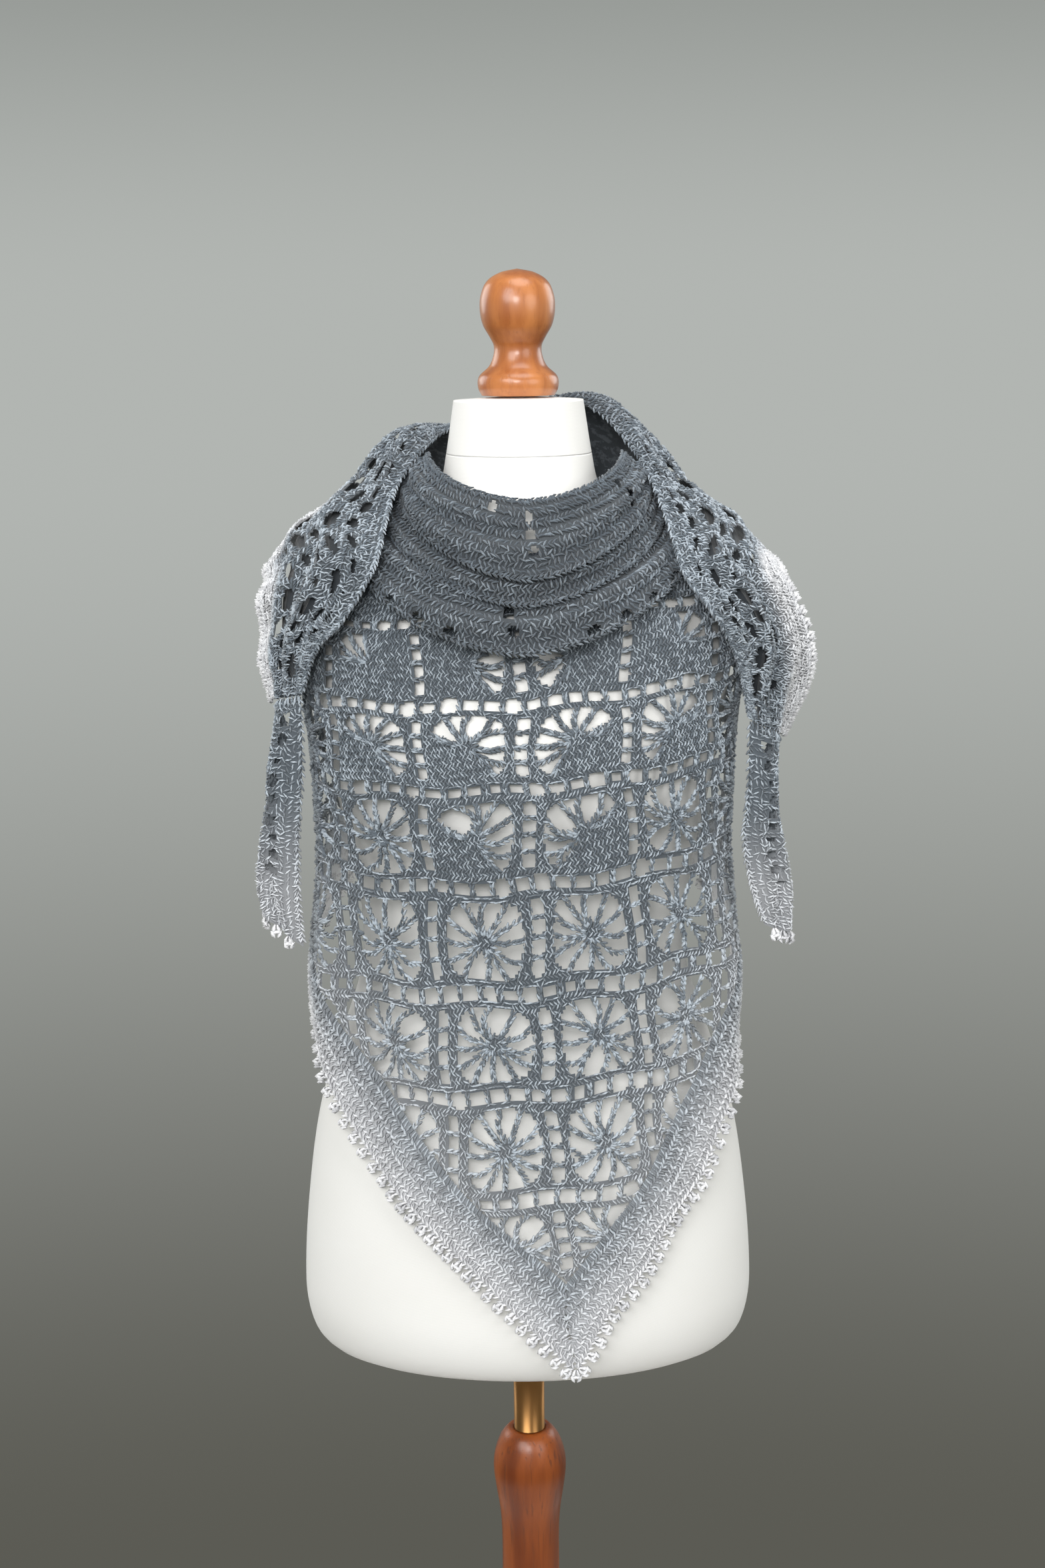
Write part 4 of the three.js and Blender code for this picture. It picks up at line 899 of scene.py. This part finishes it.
BORDERS = {"wing_left": (0.08, 0.45), "wing_right": (0.22, 0)}
for seed, (node, table) in enumerate(WINGS.items()):
    place, last, (flap, shoulder) = ribbon_place(table), len(table) - 1, BORDERS[node]

    def wing_tone(u, v):
        drawn_up = shoulder * np.clip(1 - ((u - 3.3) / 1.3) ** 2, 0, 1)
        border = np.clip((v - 0.82 + flap * np.clip(u - 4.5, 0, 1) + drawn_up) / 0.16, 0, 1)
        border = border * (0.6 + 0.4 * np.clip((u - 2.4) / 1.5, 0, 1))
        return 0.12 + 0.27 * np.clip(u / 4, 0, 1) + 0.45 * border

    def wing_hole(u, v, grow):
        drawn = v * 7 + 0.45 * np.sin(2.3 * u + 1)
        lane = np.round(drawn)
        step = u * (1.9 + 0.35 * np.sin(lane * 2.4)) + 0.37 * lane + 0.9 * (v - 0.5)
        size = 0.1 + 1.25 * uneven(lane, np.round(step))
        slot = ((drawn - lane) / 0.3) ** 2 + ((step - np.round(step)) / 0.36) ** 2 < size * (1 + grow)
        return slot & (u > 1.4) & (u < last - 0.3) & (v > 0.1) & (v < 0.84 - flap * np.clip(u - 4.5, 0, 1))

    body, bunches, area, cut = worked_strip(
        node, place, (0, last), wing_tone, wing_hole, 3.0, 80 + seed, 0.3, 0.6, yarn_in_deep_painted_shade
    )
    # Under each wing, the inner layer of its fold: a sheet at the lowest tone in the darkest copy of the
    # yarn, painted shade that shows dark through the slots.
    fold_u, fold_v = np.linspace(2.2, last - 0.3, 61), np.linspace(0.08, 0.84, 16)
    whole = np.ones((len(fold_u) - 1, len(fold_v) - 1), bool)
    dark = np.zeros(len(fold_u) * len(fold_v))
    under = ground(node + "_under", place, fold_u, fold_v, whole, dark, yarn_in_deep_painted_shade, top=-7, low=-7.7)
    edge = np.linspace(0.12, last - 0.1, 44)
    rim = picots(lay(place, edge, 0 * edge + 0.999, STRIP_STEP), 0 * edge + math.pi / 2, 90 + seed)
    worked = join_yarn(node + "_trebles", [*bunches, *rim], yarn)
    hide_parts(node)

# Tails: the last of each end, hanging free in a narrow fold before the arm, lace down the middle
# and closed by the pale edging and its picots.
TAILS = {
    "tail_left": (
        (-160, -69, 208.6, -176, -66, 213, -178, -48, 219), (-161, -66, 262, -186, -64, 262, -168, -46, 262),
        (-165, -66, 312, -191, -63, 312, -170, -44, 312), (-166, -66, 360, -195, -62, 345, -172, -44, 345),
        (-164, -64, 398, -192, -60, 372, -174, -46, 366),
    ),
    "tail_right": (
        (167, -57, 232.5, 187, -57, 243, 184, -39, 250), (166, -60, 285, 188, -56, 285, 170, -40, 285),
        (163, -60, 320, 191, -56, 320, 168, -40, 320), (169, -60, 356, 197, -55, 358, 174, -40, 352),
        (179, -59, 386, 198, -54, 392, 184, -42, 380),
    ),
}
for seed, (node, table) in enumerate(TAILS.items()):
    place, last = ribbon_place(table), len(table) - 1

    def tail_tone(u, v):
        return 0.45 + 0.29 * np.clip((u - 1.2) / 1.8, 0, 1) + 0 * v

    def tail_hole(u, v, grow):
        cell = np.round(u * 3.4)
        size = 0.7 + 0.4 * np.sin(cell * 7.9)
        aside = (v - 0.3 - 0.05 * np.sin(cell * 5.3)) / 0.1
        slot = aside**2 + ((u * 3.4 - cell) / 0.36) ** 2 < size * (1 + grow)
        return slot & (u < 2.9) & (u > 0.2)

    body, bunches, area, cut = worked_strip(
        node, place, (0, last), tail_tone, tail_hole, 3.0, 100 + seed, 0.3, 0.6, yarn_in_painted_shade
    )
    join = np.linspace(0.04, 0.96, 16)
    laid = lay(place, 0 * join + 0.03, join, STRIP_STEP)
    bunches.append(stitches(
        laid, 0 * join, tail_tone(0 * join, join), length=7, thick=1.3, lift=0.4, leaves=(0,), seed=120 + seed
    ))
    foot_edge = np.linspace(0.12, 0.9, 6)
    rim = picots(lay(place, 0 * foot_edge + last - 1e-3, foot_edge, STRIP_STEP), 0 * foot_edge, 110 + seed)
    worked = join_yarn(node + "_trebles", [*bunches, *rim], yarn)
    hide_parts(node)
    "wing" + node[4:]
